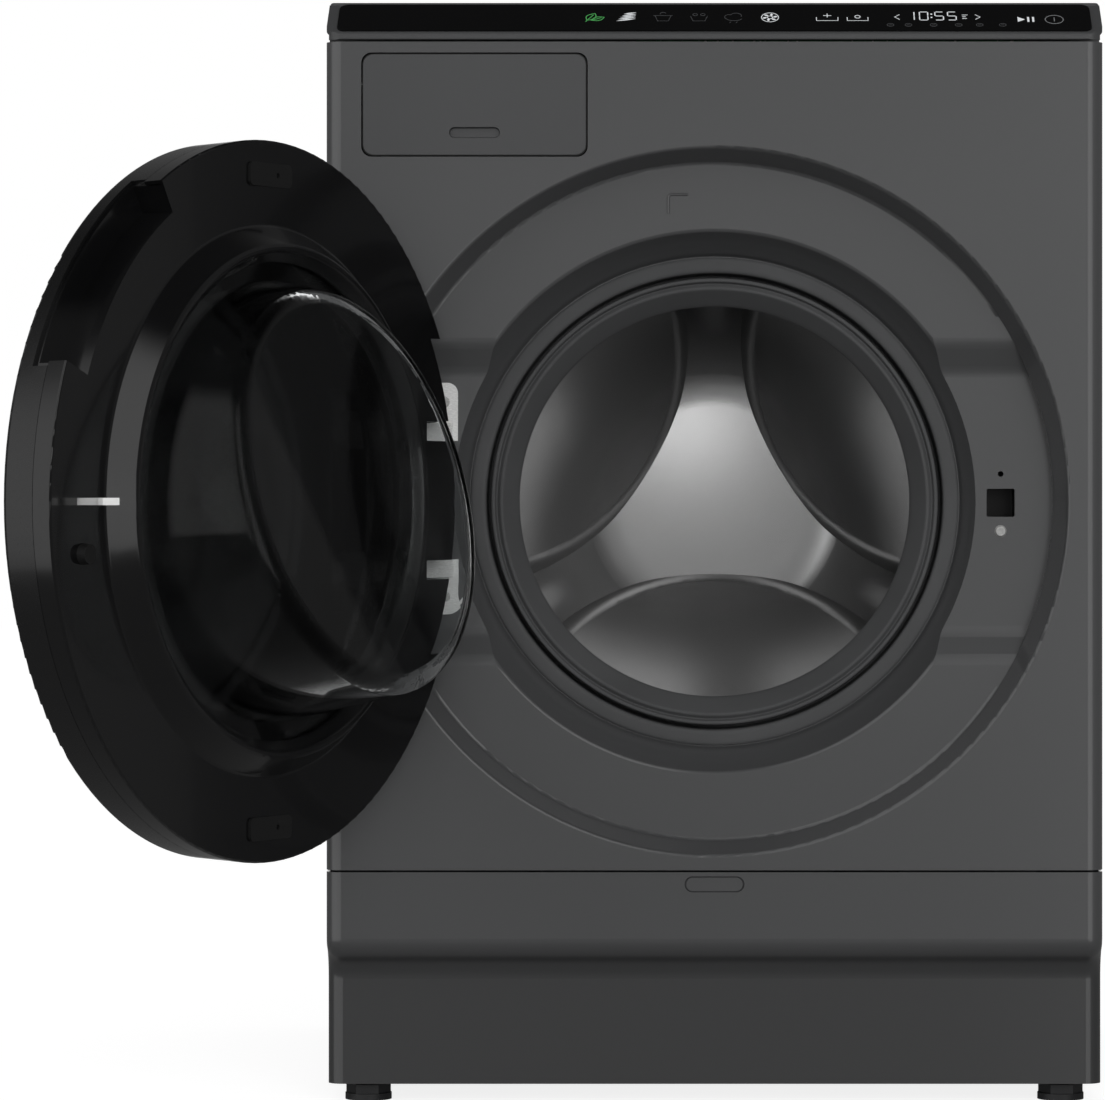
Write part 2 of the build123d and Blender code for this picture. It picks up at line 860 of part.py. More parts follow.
# Dispenser housing: an open box behind the front panel, with two rails under the tray
housing_front = sheet + running_gap
housing_back = housing_front + housing_length
rail_height = tray_margin - housing_wall - running_gap
with BuildPart() as dispenser_housing:
    with BuildSketch(front_plane(housing_front)):
        with Locations((drawer_x, drawer_z)):
            RectangleRounded(drawer_width, drawer_height, drawer_corner)
    extrude(amount=-housing_length)
    with BuildSketch(front_plane(0)):
        with Locations((drawer_x, drawer_z)):
            RectangleRounded(
                drawer_width - 2 * housing_wall,
                drawer_height - 2 * housing_wall,
                drawer_corner - housing_wall,
            )
    extrude(amount=-housing_length, mode=Mode.SUBTRACT)
    with BuildSketch(front_plane(housing_front + panel_flange)):
        with Locations(
            (drawer_x - rail_spacing / 2, drawer_bottom + housing_wall + rail_height / 2),
            (drawer_x + rail_spacing / 2, drawer_bottom + housing_wall + rail_height / 2),
        ):
            Rectangle(rail_width, rail_height)
    extrude(amount=-(housing_length - panel_flange))
    with BuildSketch(front_plane(housing_back)):
        with Locations((inlet_x, inlet_height)):
            Circle(fill_hose_bore)
    extrude(amount=2 * housing_wall, both=True, mode=Mode.SUBTRACT)
save(dispenser_housing, "dispenser_housing")

# Detergent drawer: a front with a finger groove, and a tray with three compartments
with BuildPart() as drawer_front:
    with BuildSketch(front_plane(0)):
        with Locations((drawer_x, drawer_z)):
            RectangleRounded(drawer_width - seam, drawer_height - seam, drawer_corner)
    extrude(amount=-sheet)
    with BuildSketch(front_plane(sheet)):
        with Locations((drawer_x, drawer_z)):
            RectangleRounded(
                drawer_width - 4 * housing_wall,
                drawer_height - 4 * housing_wall,
                drawer_corner - housing_wall,
            )
    extrude(amount=-drawer_front_thickness)
    grip_z = drawer_bottom + drawer_grip_rise
    with BuildSketch(front_plane(0)):
        with Locations((drawer_x, grip_z)):
            SlotOverall(drawer_grip_width, drawer_grip_height)
    extrude(amount=-drawer_grip_depth, taper=drawer_grip_draft, mode=Mode.SUBTRACT)
save(drawer_front, "drawer_front")

tray_front = sheet + drawer_front_thickness
tray_width = drawer_width - 2 * tray_margin
tray_bottom = drawer_bottom + tray_margin
tray_left = drawer_x - tray_width / 2
tray_right = drawer_x + tray_width / 2
with BuildPart() as drawer_tray:
    with BuildSketch(front_plane(tray_front)):
        with Locations((drawer_x, tray_bottom + tray_depth / 2)):
            RectangleRounded(tray_width, tray_depth, tray_corner)
    extrude(amount=-tray_length)
    pocket_edges = [
        tray_left + housing_wall,
        tray_left + prewash_width,
        tray_right - softener_width,
        tray_right - housing_wall,
    ]
    with BuildSketch(level_plane(tray_bottom + housing_wall)):
        for low, high in zip(pocket_edges[:-1], pocket_edges[1:]):
            with Locations(((low + high) / 2, tray_front + tray_length / 2)):
                RectangleRounded(high - low - housing_wall, tray_length - 2 * housing_wall, tray_corner)
    extrude(amount=tray_depth, mode=Mode.SUBTRACT)
save(drawer_tray, "drawer_tray")


def ring_sector(inner, outer, start, end):
    """Flat sector of a ring between two angles."""
    with BuildSketch(mode=Mode.PRIVATE) as shape:
        with BuildLine():
            near = CenterArc((0, 0), inner, start, end - start)
            far = CenterArc((0, 0), outer, start, end - start)
            Line(near @ 0, far @ 0)
            Line(near @ 1, far @ 1)
        make_face()
    return shape.sketch


def rim_radius(depth):
    """Radius of the door's tapered edge at a depth."""
    return door_radius - (door_radius - door_edge_radius) * (door_inner_depth - depth) / door_thickness


def hinge_notch(inner, half_height):
    """Flat shape cut from the hinge side of the door, outside a radius."""
    with BuildSketch(mode=Mode.PRIVATE) as shape:
        Circle(door_radius + seam)
        Circle(inner, mode=Mode.SUBTRACT)
        with Locations((-door_radius, 0)):
            Rectangle(2 * door_radius, 2 * half_height, mode=Mode.INTERSECT)
    return shape.sketch


# Door inner moulding: flat ring, raised plug round the glass, grip pocket and hinge notch
skirt_radius = rim_radius(door_split_depth)
seat_depth = crest_depth - glass_seat_drop
crest_inner_radius = plug_radius - plug_draft - plug_crest
pocket_floor = door_inner_depth - grip_depth
pocket_spread = degrees(asin(door_wall / grip_inner_radius))
shell_radius = skirt_radius - door_wall
arm_slot = hinge_barrel_length + 2 * hinge_knuckle_gap
arm_heights = (hinge_barrel_height, -hinge_barrel_height)
arm_slot_right = bracket_x + seam
catch_lug_height = hook_pin_length / 2
with BuildPart() as door_frame:
    with BuildSketch(door_section):
        with BuildLine():
            face = FilletPolyline(
                (skirt_radius, door_split_depth),
                (door_radius, door_inner_depth),
                (plug_radius, door_inner_depth),
                (plug_radius - plug_draft, crest_depth),
                (crest_inner_radius, crest_depth),
                (glass_hole_radius, seat_depth),
                radius=[door_wall - seam, frame_fillet, frame_fillet, frame_fillet],
            )
            Polyline(
                face @ 1,
                (glass_hole_radius, seat_depth - door_wall),
                (crest_inner_radius, crest_depth - door_wall),
                (plug_radius - plug_draft - door_wall, crest_depth - door_wall),
                (plug_radius - door_wall, door_inner_depth - door_wall),
                (door_radius - door_wall, door_inner_depth - door_wall),
                (shell_radius, door_split_depth),
                face @ 0,
            )
        make_face()
    revolve(axis=door_axis)
    with BuildSketch(door_plane(pocket_floor - door_wall)):
        add(
            ring_sector(
                grip_inner_radius - door_wall,
                shell_radius - running_gap,
                grip_start_angle - pocket_spread,
                grip_end_angle + pocket_spread,
            )
        )
    extrude(amount=-grip_depth)
    with BuildSketch(door_plane(pocket_floor)):
        add(ring_sector(grip_inner_radius, door_radius + seam, grip_start_angle, grip_end_angle))
    extrude(amount=-grip_depth - seam, mode=Mode.SUBTRACT)
    with BuildSketch(door_plane(door_split_depth)):
        add(hinge_notch(notch_radius - door_wall, notch_half_height + door_wall))
    extrude(amount=-(door_inner_depth - door_split_depth - door_wall / 2))
    with BuildSketch(door_plane(door_split_depth)):
        Circle(2 * door_radius)
        Circle(door_radius, mode=Mode.SUBTRACT)
    extrude(amount=-door_thickness, mode=Mode.SUBTRACT)
    with BuildSketch(door_plane(0)):
        add(hinge_notch(notch_radius, notch_half_height))
    extrude(amount=-door_thickness, mode=Mode.SUBTRACT)
    with BuildSketch(door_plane(0)):
        for height in arm_heights:
            with Locations(((arm_slot_right - door_radius) / 2, height)):
                Rectangle(arm_slot_right + door_radius, arm_slot)
    extrude(amount=-door_thickness, mode=Mode.SUBTRACT)
    with BuildSketch(door_plane(hook_pivot_depth - 2 * hook_pin_radius)):
        with Locations((hook_x, 0)):
            Rectangle(4 * hook_pin_radius, 2 * catch_lug_height)
    extrude(amount=-(door_inner_depth - door_wall / 2 - hook_pivot_depth + 2 * hook_pin_radius))
    with BuildSketch(door_plane(hook_pivot_depth - 3 * hook_pin_radius)):
        with Locations((hook_x, 0)):
            Rectangle(hook_width + 2 * hook_slot_margin, hook_thickness + seam)
    extrude(amount=-door_thickness, mode=Mode.SUBTRACT)
    with BuildSketch(door_level(0)):
        with Locations((hook_x, hook_pivot_depth)):
            Circle(hook_pin_radius)
    extrude(amount=catch_lug_height, both=True, mode=Mode.SUBTRACT)
save(door_frame, "door_frame")

# Door outer rim: the tapered edge and the ring round the cover
rim_split = door_split_depth - running_gap
ledge_radius = cover_radius - cover_ledge
with BuildPart() as door_rim:
    with BuildSketch(door_section):
        with BuildLine():
            edge = FilletPolyline(
                (rim_radius(rim_split), rim_split),
                (door_edge_radius, door_outer_depth),
                (cover_radius + running_gap, cover_edge_depth),
                radius=rim_corner,
            )
            Polyline(
                edge @ 1,
                (cover_radius + running_gap, cover_edge_depth + cover_thickness),
                (ledge_radius, cover_edge_depth + cover_thickness),
                (ledge_radius, cover_edge_depth + cover_thickness + door_wall),
                (cover_radius, cover_edge_depth + cover_thickness + door_wall),
                (door_edge_radius - door_wall, door_outer_depth + door_wall),
                (rim_radius(rim_split) - door_wall, rim_split),
                edge @ 0,
            )
        make_face()
    revolve(axis=door_axis)
    with BuildSketch(door_plane(pocket_floor - door_wall)):
        add(
            ring_sector(
                grip_inner_radius - door_wall,
                door_radius + seam,
                grip_start_angle - pocket_spread,
                grip_end_angle + pocket_spread,
            )
        )
    extrude(amount=-grip_depth, mode=Mode.SUBTRACT)
    with BuildSketch(door_plane(notch_depth)):
        add(hinge_notch(notch_radius, notch_half_height))
    extrude(amount=-door_thickness, mode=Mode.SUBTRACT)
    with BuildSketch(door_plane(door_outer_depth + door_wall)):
        for height in arm_heights:
            with Locations(((hinge_x - door_radius) / 2, height)):
                Rectangle(hinge_x + door_radius, arm_slot)
    extrude(amount=-door_thickness, mode=Mode.SUBTRACT)
save(door_rim, "door_rim")

# Door outer cover: a shallow dome
with BuildPart() as door_cover:
    with BuildSketch(door_section):
        with BuildLine():
            crown = cover_edge_depth - cover_dome
            sphere = (cover_radius**2 + cover_dome**2) / (2 * cover_dome)
            outer_arc = RadiusArc((0, crown), (cover_radius, cover_edge_depth), sphere)
            inner_arc = RadiusArc(
                (0, crown + cover_thickness), (cover_radius, cover_edge_depth + cover_thickness), sphere
            )
            Line(outer_arc @ 0, inner_arc @ 0)
            Line(outer_arc @ 1, inner_arc @ 1)
        make_face()
    revolve(axis=door_axis)
save(door_cover, "door_cover")

# Door glass: a tapered bowl with a slanted end
flange_face = seat_depth - door_wall
flange_back = flange_face - bowl_flange_thickness
bowl_stock = 2 * bowl_end_depth
end_normal = (door_w + up * bowl_end_slope).normalized()
end_point = door_origin + door_w * bowl_end_depth + up * bowl_end_rise


def bowl_form(radius, start, end_shift, rounding):
    """Tapered solid from a depth to the slanted end, with the end's edge rounded."""
    with BuildPart() as form:
        with BuildSketch(door_section):
            with BuildLine():
                Polyline(
                    (0, start),
                    (radius, start),
                    (radius - bowl_taper * (bowl_stock - start), bowl_stock),
                    (0, bowl_stock),
                    close=True,
                )
            make_face()
        revolve(axis=door_axis)
        split(bisect_by=Plane(origin=end_point + end_normal * end_shift, z_dir=end_normal), keep=Keep.BOTTOM)
        end_face = form.faces().sort_by(door_axis)[-1]
        fillet(end_face.edges(), rounding)
    return form.part


with BuildPart() as door_glass:
    with BuildSketch(door_plane(flange_back)):
        Circle(bowl_flange_radius)
    extrude(amount=-bowl_flange_thickness)
    add(bowl_form(bowl_radius, flange_back, 0, bowl_end_round))
    hollow_start = flange_back - seam
    hollow = bowl_form(bowl_radius - bowl_wall, hollow_start, -bowl_wall, bowl_end_round - bowl_wall / 2)
    add(hollow, mode=Mode.SUBTRACT)
save(door_glass, "door_glass")

# Door buffers: a rubber stop beside the catch and two thin pads above and below the glass
with BuildPart() as door_buffers:
    with BuildSketch(door_plane(door_inner_depth)):
        with Locations((0, pad_offset), (0, -pad_offset)):
            RectangleRounded(pad_length, pad_width, pad_corner)
        with Locations((-pad_hole_shift, pad_offset), (-pad_hole_shift, -pad_offset)):
            Circle(pad_hole_radius, mode=Mode.SUBTRACT)
    extrude(amount=-pad_low_height)
    pad_step_x = (pad_length - pad_step_length) / 2
    with BuildSketch(door_plane(door_inner_depth)):
        with Locations((pad_step_x, pad_offset), (pad_step_x, -pad_offset)):
            RectangleRounded(pad_step_length, pad_width, pad_corner)
    extrude(amount=-pad_height)
    with BuildSketch(door_plane(door_inner_depth)):
        with Locations((buffer_x, -buffer_drop)):
            Circle(buffer_radius)
    extrude(amount=-buffer_height, taper=buffer_draft)
save(door_buffers, "door_buffers")

# Hinge bracket on the front panel: two plates, each with a cranked arm that ends in a barrel
bracket_face = pad_depth - bracket_thickness
arm_base = bracket_corner
plate_start = hinge_barrel_height - hinge_barrel_length / 2
with BuildPart() as hinge_bracket:
    with BuildSketch(front_plane(pad_depth)):
        with Locations((bracket_x, axis_height)):
            RectangleRounded(bracket_width, 2 * bracket_half_height, bracket_corner)
            Rectangle(bracket_width, 2 * plate_start, mode=Mode.SUBTRACT)
        with Locations(
            (bracket_x, axis_height + bracket_screw_height),
            (bracket_x, axis_height - bracket_screw_height),
        ):
            Circle(lock_hole_radius, mode=Mode.SUBTRACT)
    extrude(amount=bracket_thickness)
    for height in arm_heights:
        with BuildSketch(level_plane(axis_height + height)):
            with BuildLine():
                CenterArc((hinge_x, hinge_depth), hinge_barrel_radius, 0, 360)
                Line(
                    (bracket_x - arm_base, bracket_face + bracket_thickness / 2),
                    (bracket_x + arm_base, bracket_face + bracket_thickness / 2),
                )
            make_hull()
        extrude(amount=hinge_barrel_length / 2, both=True)
        with BuildSketch(level_plane(axis_height + height)):
            with Locations((hinge_x, hinge_depth)):
                Circle(hinge_pin_radius + hinge_fit)
        extrude(amount=hinge_barrel_length, both=True, mode=Mode.SUBTRACT)
save(hinge_bracket, "hinge_bracket")

# Hinge leaf inside the door: a plate behind the moulding with a knuckle on each side of each barrel
leaf_face = door_inner_depth - door_wall
leaf_left = seam - plug_radius - leaf_width
knuckle_start = hinge_barrel_length / 2 + hinge_knuckle_gap
with BuildPart() as hinge_leaf:
    with BuildSketch(door_plane(leaf_face)):
        with Locations((leaf_left + leaf_width / 2, 0)):
            Rectangle(leaf_width, 2 * leaf_half_height)
        for height in arm_heights:
            with Locations((arm_slot_right - leaf_width / 2, height)):
                Rectangle(leaf_width, arm_slot, mode=Mode.SUBTRACT)
    extrude(amount=leaf_thickness)
    for height in arm_heights:
        for start in (knuckle_start, -knuckle_start - hinge_knuckle_length):
            with BuildSketch(door_level(height + start)):
                with BuildLine():
                    CenterArc((hinge_x, hinge_depth), hinge_barrel_radius, 0, 360)
                    Line(
                        (leaf_left, leaf_face - leaf_thickness / 2),
                        (leaf_left + leaf_width / 2, leaf_face - leaf_thickness / 2),
                    )
                make_hull()
            extrude(amount=hinge_knuckle_length)
        with BuildSketch(door_level(height)):
            with Locations((hinge_x, hinge_depth)):
                Circle(hinge_pin_radius)
        extrude(amount=2 * hinge_barrel_length, both=True, mode=Mode.SUBTRACT)
save(hinge_leaf, "hinge_leaf")

# Pins in the door: two for the hinge and one for the catch
with BuildPart() as door_pins:
    for height in arm_heights:
        with BuildSketch(door_level(height)):
            with Locations((hinge_x, hinge_depth)):
                Circle(hinge_pin_radius)
        extrude(amount=knuckle_start + hinge_knuckle_length, both=True)
    with BuildSketch(door_level(0)):
        with Locations((hook_x, hook_pivot_depth)):
            Circle(hook_pin_radius)
    extrude(amount=catch_lug_height, both=True)
save(door_pins, "door_pins")

# Catch: a flat hook on its own pin
hook_tip = door_inner_depth + hook_reach
hook_eye = hook_pin_radius + door_wall
with BuildPart() as latch_hook:
    with BuildSketch(door_level(0)):
        with Locations((hook_x, hook_pivot_depth)):
            Circle(hook_eye)
        with BuildLine():
            Polyline(
                (hook_x - hook_width / 2, hook_pivot_depth),
                (hook_x - hook_width / 2, hook_tip - hook_width / 2),
                (hook_x, hook_tip),
                (hook_x + hook_width / 2 + hook_nose, hook_tip - hook_width),
                (hook_x + hook_width / 2 + hook_nose, hook_tip - hook_width - hook_nose),
                (hook_x + hook_width / 2, hook_tip - hook_width - hook_nose),
                (hook_x + hook_width / 2, hook_pivot_depth),
                close=True,
            )
        make_face()
        with Locations((hook_x, hook_pivot_depth)):
            Circle(hook_pin_radius + hinge_fit, mode=Mode.SUBTRACT)
    extrude(amount=hook_thickness / 2, both=True)
save(latch_hook, "latch_hook")

# Door lock: a box behind the front panel that takes the hook
lock_face = pad_depth + sheet
with BuildPart() as door_lock:
    with BuildSketch(front_plane(lock_face)):
        with Locations((hook_x, axis_height)):
            RectangleRounded(lock_width, lock_height, lock_wall)
    extrude(amount=-lock_depth)
    with BuildSketch(front_plane(lock_face)):
        with Locations((hook_x, lock_z)):
            Rectangle(lock_slot_size, lock_slot_size)
    extrude(amount=-(lock_depth - lock_wall), mode=Mode.SUBTRACT)
    with BuildSketch(front_plane(lock_face)):
        with Locations((hook_x, axis_height + lock_hole_rise), (hook_x, screw_z)):
            Circle(lock_hole_radius)
    extrude(amount=-2 * screw_shank_length, mode=Mode.SUBTRACT)
save(door_lock, "door_lock")

# Screws that show: the lock's, the hinge bracket's and those round the rear panel
rear_screw_x = rear_width / 2 - side_flange / 2
rear_screw_pitch = (rear_top - rear_bottom) / rear_screw_count
rear_screw_heights = [rear_bottom + rear_screw_pitch * (i + 0.5) for i in range(rear_screw_count)]
rear_screw_points = [(x, z) for x in (-rear_screw_x, rear_screw_x) for z in rear_screw_heights]
with BuildPart() as screws:
    for depth, points in (
        (pad_depth, [(hook_x, screw_z)]),
        (
            bracket_face,
            [
                (bracket_x, axis_height + bracket_screw_height),
                (bracket_x, axis_height - bracket_screw_height),
            ],
        ),
    ):
        with BuildSketch(front_plane(depth)):
            with Locations(*points):
                Circle(screw_head_radius)
        extrude(amount=screw_head_height, taper=screw_head_draft)
        with BuildSketch(front_plane(depth)):
            with Locations(*points):
                Circle(screw_shank_radius)
        extrude(amount=-screw_shank_length)
        with BuildSketch(front_plane(depth - screw_head_height)):
            with Locations(*points):
                RegularPolygon(screw_shank_radius, 6)
        extrude(amount=-screw_drive_depth, mode=Mode.SUBTRACT)
    with BuildSketch(front_plane(rear_depth)):
        with Locations(*rear_screw_points):
            Circle(screw_head_radius)
    extrude(amount=-screw_head_height, taper=screw_head_draft)
save(screws, "screws")

# Door seal: a turned rubber ring with a lip over the panel, a deep fold and a bellows to the tub
seal_outer_radius = lip_inner_radius + seal_lip_overlap
seal_front = lip_depth - seal_lip_height
seal_web = lip_inner_radius - running_gap
fold_outer = seal_web - seal_wall
fold_inner = fold_outer - seal_fold_width
bead_inner = fold_inner + seal_wall / 2
bead_end = tub_front_depth
bead_start = bead_end - seal_bead_length
seal_face = fold_inner - seal_wall
with BuildPart() as door_gasket:
    with BuildSketch(drum_section):
        with BuildLine():
            Polyline(
                (seal_outer_radius, lip_depth),
                (seal_outer_radius, seal_front + seal_groove / 2),
                (seal_outer_radius - seal_groove, seal_front),
                (fold_outer + seal_groove, seal_front),
                (fold_outer, seal_front + seal_groove),
                (fold_outer, seal_fold_depth),
                (fold_inner, seal_fold_depth),
                (fold_inner, seal_front + seal_groove),
                (fold_inner - seal_groove / 2, seal_front + seal_groove / 2),
                (seal_face, seal_front + seal_groove / 2),
                (seal_face - seal_groove / 2, seal_front + 2 * seal_groove),
                (seal_face - seal_groove, seal_front + 2 * seal_groove),
                (seal_face - 2 * seal_groove, seal_front + seal_groove),
                (seal_face - 3 * seal_groove, seal_front + seal_groove),
                (seal_face - 4 * seal_groove, seal_front + 2 * seal_groove),
                (seal_mouth_radius, seal_mouth_depth - seal_groove),
                (seal_mouth_radius, seal_mouth_depth),
                (seal_mouth_radius + seal_groove, seal_mouth_depth + seal_groove / 2),
                (seal_face, lip_depth + 2 * seal_wall),
                (seal_face, seal_fold_depth + seal_wall),
                (fold_outer, seal_fold_depth + seal_wall),
                (seal_bellows_radius - seal_wall, (seal_fold_depth + bead_start) / 2),
                (bead_inner, bead_start),
                (bead_inner, bead_end),
                (bead_inner + seal_wall, bead_end),
                (bead_inner + seal_wall, bead_start + seal_wall / 2),
                (seal_bellows_radius, (seal_fold_depth + bead_start) / 2),
                (seal_web, seal_fold_depth - seal_wall / 2),
                (seal_web, lip_depth + sheet + seal_grip_length),
                (lip_inner_radius + seal_grip_length, lip_depth + sheet + seal_grip_length),
                (lip_inner_radius + seal_grip_length, lip_depth + sheet),
                (seal_web, lip_depth + sheet),
                (seal_web, lip_depth),
                close=True,
            )
        make_face()
    revolve(axis=drum_axis)
save(door_gasket, "door_gasket")

# Drum: a rolled shell, a front ring, a pressed back with three lobes, and lifters
with BuildPart() as drum_shell:
    with BuildSketch(axis_plane(drum_front_depth + drum_roll_length)):
        Circle(drum_radius + drum_sheet)
        Circle(drum_radius, mode=Mode.SUBTRACT)
    extrude(amount=-(drum_back_depth + drum_roll_length - drum_front_depth))
save(drum_shell, "drum_shell")

with BuildPart() as drum_front:
    with BuildSketch(drum_section):
        with BuildLine():
            outside = FilletPolyline(
                (drum_radius, drum_front_depth + drum_skirt),
                (drum_radius, drum_front_depth),
                (drum_mouth_radius, drum_front_depth),
                (drum_mouth_radius, drum_front_depth + drum_roll_length),
                radius=[drum_front_round, drum_mouth_round],
            )
            inside = FilletPolyline(
                (drum_radius - drum_sheet, drum_front_depth + drum_skirt),
                (drum_radius - drum_sheet, drum_front_depth + drum_sheet),
                (drum_mouth_radius + drum_sheet, drum_front_depth + drum_sheet),
                (drum_mouth_radius + drum_sheet, drum_front_depth + drum_roll_length),
                radius=[drum_front_round - drum_sheet, drum_mouth_round - drum_sheet],
            )
            Line(outside @ 0, inside @ 0)
            Line(outside @ 1, inside @ 1)
        make_face()
    revolve(axis=drum_axis)
save(drum_front, "drum_front")


def lobe_cutter(angle):
    """One sunken lobe of the drum back: a round pan with sloping sides that leans away from the star."""
    spoke = Vector(cos(radians(angle)), 0, sin(radians(angle)))
    depth_way = Vector(0, 1, 0)
    lean = radians(lobe_tilt)
    outward = spoke * cos(lean) + depth_way * sin(lean)
    inward = depth_way * cos(lean) - spoke * sin(lean)
    middle = centre + spoke * lobe_start + depth_way * star_depth + outward * lobe_radius
    with BuildPart() as lobe:
        with BuildSketch(Plane(origin=middle, x_dir=outward, z_dir=outward.cross(inward))):
            with BuildLine():
                pan = FilletPolyline(
                    (0, 0),
                    (lobe_radius, 0),
                    (lobe_radius + lobe_flank, -lobe_flank),
                    radius=lobe_blend,
                )
                Polyline(pan @ 1, (0, -lobe_flank), pan @ 0)
            make_face()
        revolve(axis=Axis(middle, inward))
        add(lobe_bound.part, mode=Mode.INTERSECT)
    return lobe.part


star_depth = drum_back_depth - star_rise
with BuildPart() as lobe_bound:
    with BuildSketch(drum_section):
        with BuildLine():
            Polyline(
                (0, star_depth - star_rise),
                (lobe_edge_radius, star_depth - star_rise),
                (lobe_edge_radius, drum_back_depth),
                (lobe_edge_radius - back_stock, drum_back_depth + back_stock),
                (0, drum_back_depth + back_stock),
                close=True,
            )
        make_face()
    revolve(axis=drum_axis)

with BuildPart() as back_form:
    with BuildSketch(drum_section):
        with BuildLine():
            star = FilletPolyline(
                (0, star_depth),
                (star_flat_radius, star_depth),
                (drum_radius, drum_back_depth),
                radius=star_bend,
            )
            Polyline(
                star @ 1,
                (drum_radius, drum_back_depth + back_stock),
                (0, drum_back_depth + back_stock),
                star @ 0,
            )
        make_face()
    revolve(axis=drum_axis)
    for angle in star_angles:
        add(lobe_cutter(angle + 180), mode=Mode.SUBTRACT)

with BuildPart() as drum_back:
    add(back_form.part)
    add(back_form.part.moved(Location((0, drum_sheet, 0))), mode=Mode.SUBTRACT)
    with BuildSketch(axis_plane(drum_back_depth)):
        Circle(drum_radius)
        Circle(drum_radius - drum_sheet, mode=Mode.SUBTRACT)
    extrude(amount=-drum_skirt)
save(drum_back, "drum_back")

lifter_start = drum_front_depth + 2 * drum_skirt
with BuildPart() as drum_lifters:
    for angle in star_angles:
        spoke = Vector(cos(radians(angle)), 0, sin(radians(angle)))
        across = Vector(-sin(radians(angle)), 0, cos(radians(angle)))
        root = centre + spoke * (drum_radius - lifter_height) + Vector(0, lifter_start, 0)
        with BuildSketch(Plane(origin=root, x_dir=across, z_dir=across.cross(spoke))):
            with BuildLine():
                Polyline(
                    (-lifter_crest / 2, 0),
                    (lifter_crest / 2, 0),
                    (lifter_base / 2, lifter_height),
                    (-lifter_base / 2, lifter_height),
                    close=True,
                )
            make_face()
        extrude(amount=lifter_length, dir=(0, 1, 0))
    with BuildSketch(axis_plane(0)):
        Circle(drum_radius)
    extrude(amount=-cab_depth, mode=Mode.INTERSECT)
save(drum_lifters, "drum_lifters")

# Spider and shaft that carry the drum
shaft_start = drum_back_depth + drum_sheet + spider_thickness / 2
with BuildPart() as drum_spider:
    with BuildSketch(axis_plane(star_depth)):
        Circle(spider_hub_radius)
    extrude(amount=-(spider_depth - star_depth))
    with BuildSketch(axis_plane(star_depth)):
        with PolarLocations(0, lobe_count, start_angle=star_angles[0]):
            Polygon(
                (0, spider_arm_root / 2),
                (0, -spider_arm_root / 2),
                (spider_reach, -spider_arm_tip / 2),
                (spider_reach, spider_arm_tip / 2),
                align=None,
            )
    extrude(amount=-(star_rise + spider_thickness))
    add(back_form.part.moved(Location((0, drum_sheet, 0))), mode=Mode.INTERSECT)
    with BuildSketch(axis_plane(spider_depth)):
        Circle(shaft_front_radius)
    extrude(amount=spider_depth - shaft_start, mode=Mode.SUBTRACT)
save(drum_spider, "drum_spider")

seal_start = hub_front_depth
bearing_front_start = seal_start + seal_ring_width
bearing_rear_start = hub_rear_depth - bearing_rear_width
with BuildPart() as drum_shaft:
    with BuildSketch(axis_plane(shaft_start)):
        Circle(shaft_front_radius)
    extrude(amount=-(bearing_rear_start - shaft_start))
    with BuildSketch(axis_plane(bearing_rear_start)):
        Circle(shaft_rear_radius)
    extrude(amount=-(pulley_depth + pulley_width - bearing_rear_start))
save(drum_shaft, "drum_shaft")

# Bearings in the tub's hub, and the seal in front of them
with BuildPart() as drum_bearings:
    for start, width, outer, inner in (
        (bearing_front_start, bearing_front_width, bearing_front_radius, shaft_front_radius),
        (bearing_rear_start, bearing_rear_width, bearing_rear_radius, shaft_rear_radius),
    ):
        with BuildSketch(axis_plane(start)):
            Circle(outer)
            Circle(inner + bearing_fit, mode=Mode.SUBTRACT)
        extrude(amount=-width)
        shield = (outer - inner) / 4
        for face_depth in (start - sheet, start + width - sheet):
            with BuildSketch(axis_plane(face_depth)):
                Circle(outer - shield)
                Circle(inner + shield, mode=Mode.SUBTRACT)
            extrude(amount=-2 * sheet, mode=Mode.SUBTRACT)
save(drum_bearings, "drum_bearings")

with BuildPart() as shaft_seal:
    with BuildSketch(axis_plane(seal_start)):
        Circle(bearing_front_radius)
        Circle(shaft_front_radius + bearing_fit, mode=Mode.SUBTRACT)
    extrude(amount=-seal_ring_width + sheet)
save(shaft_seal, "shaft_seal")

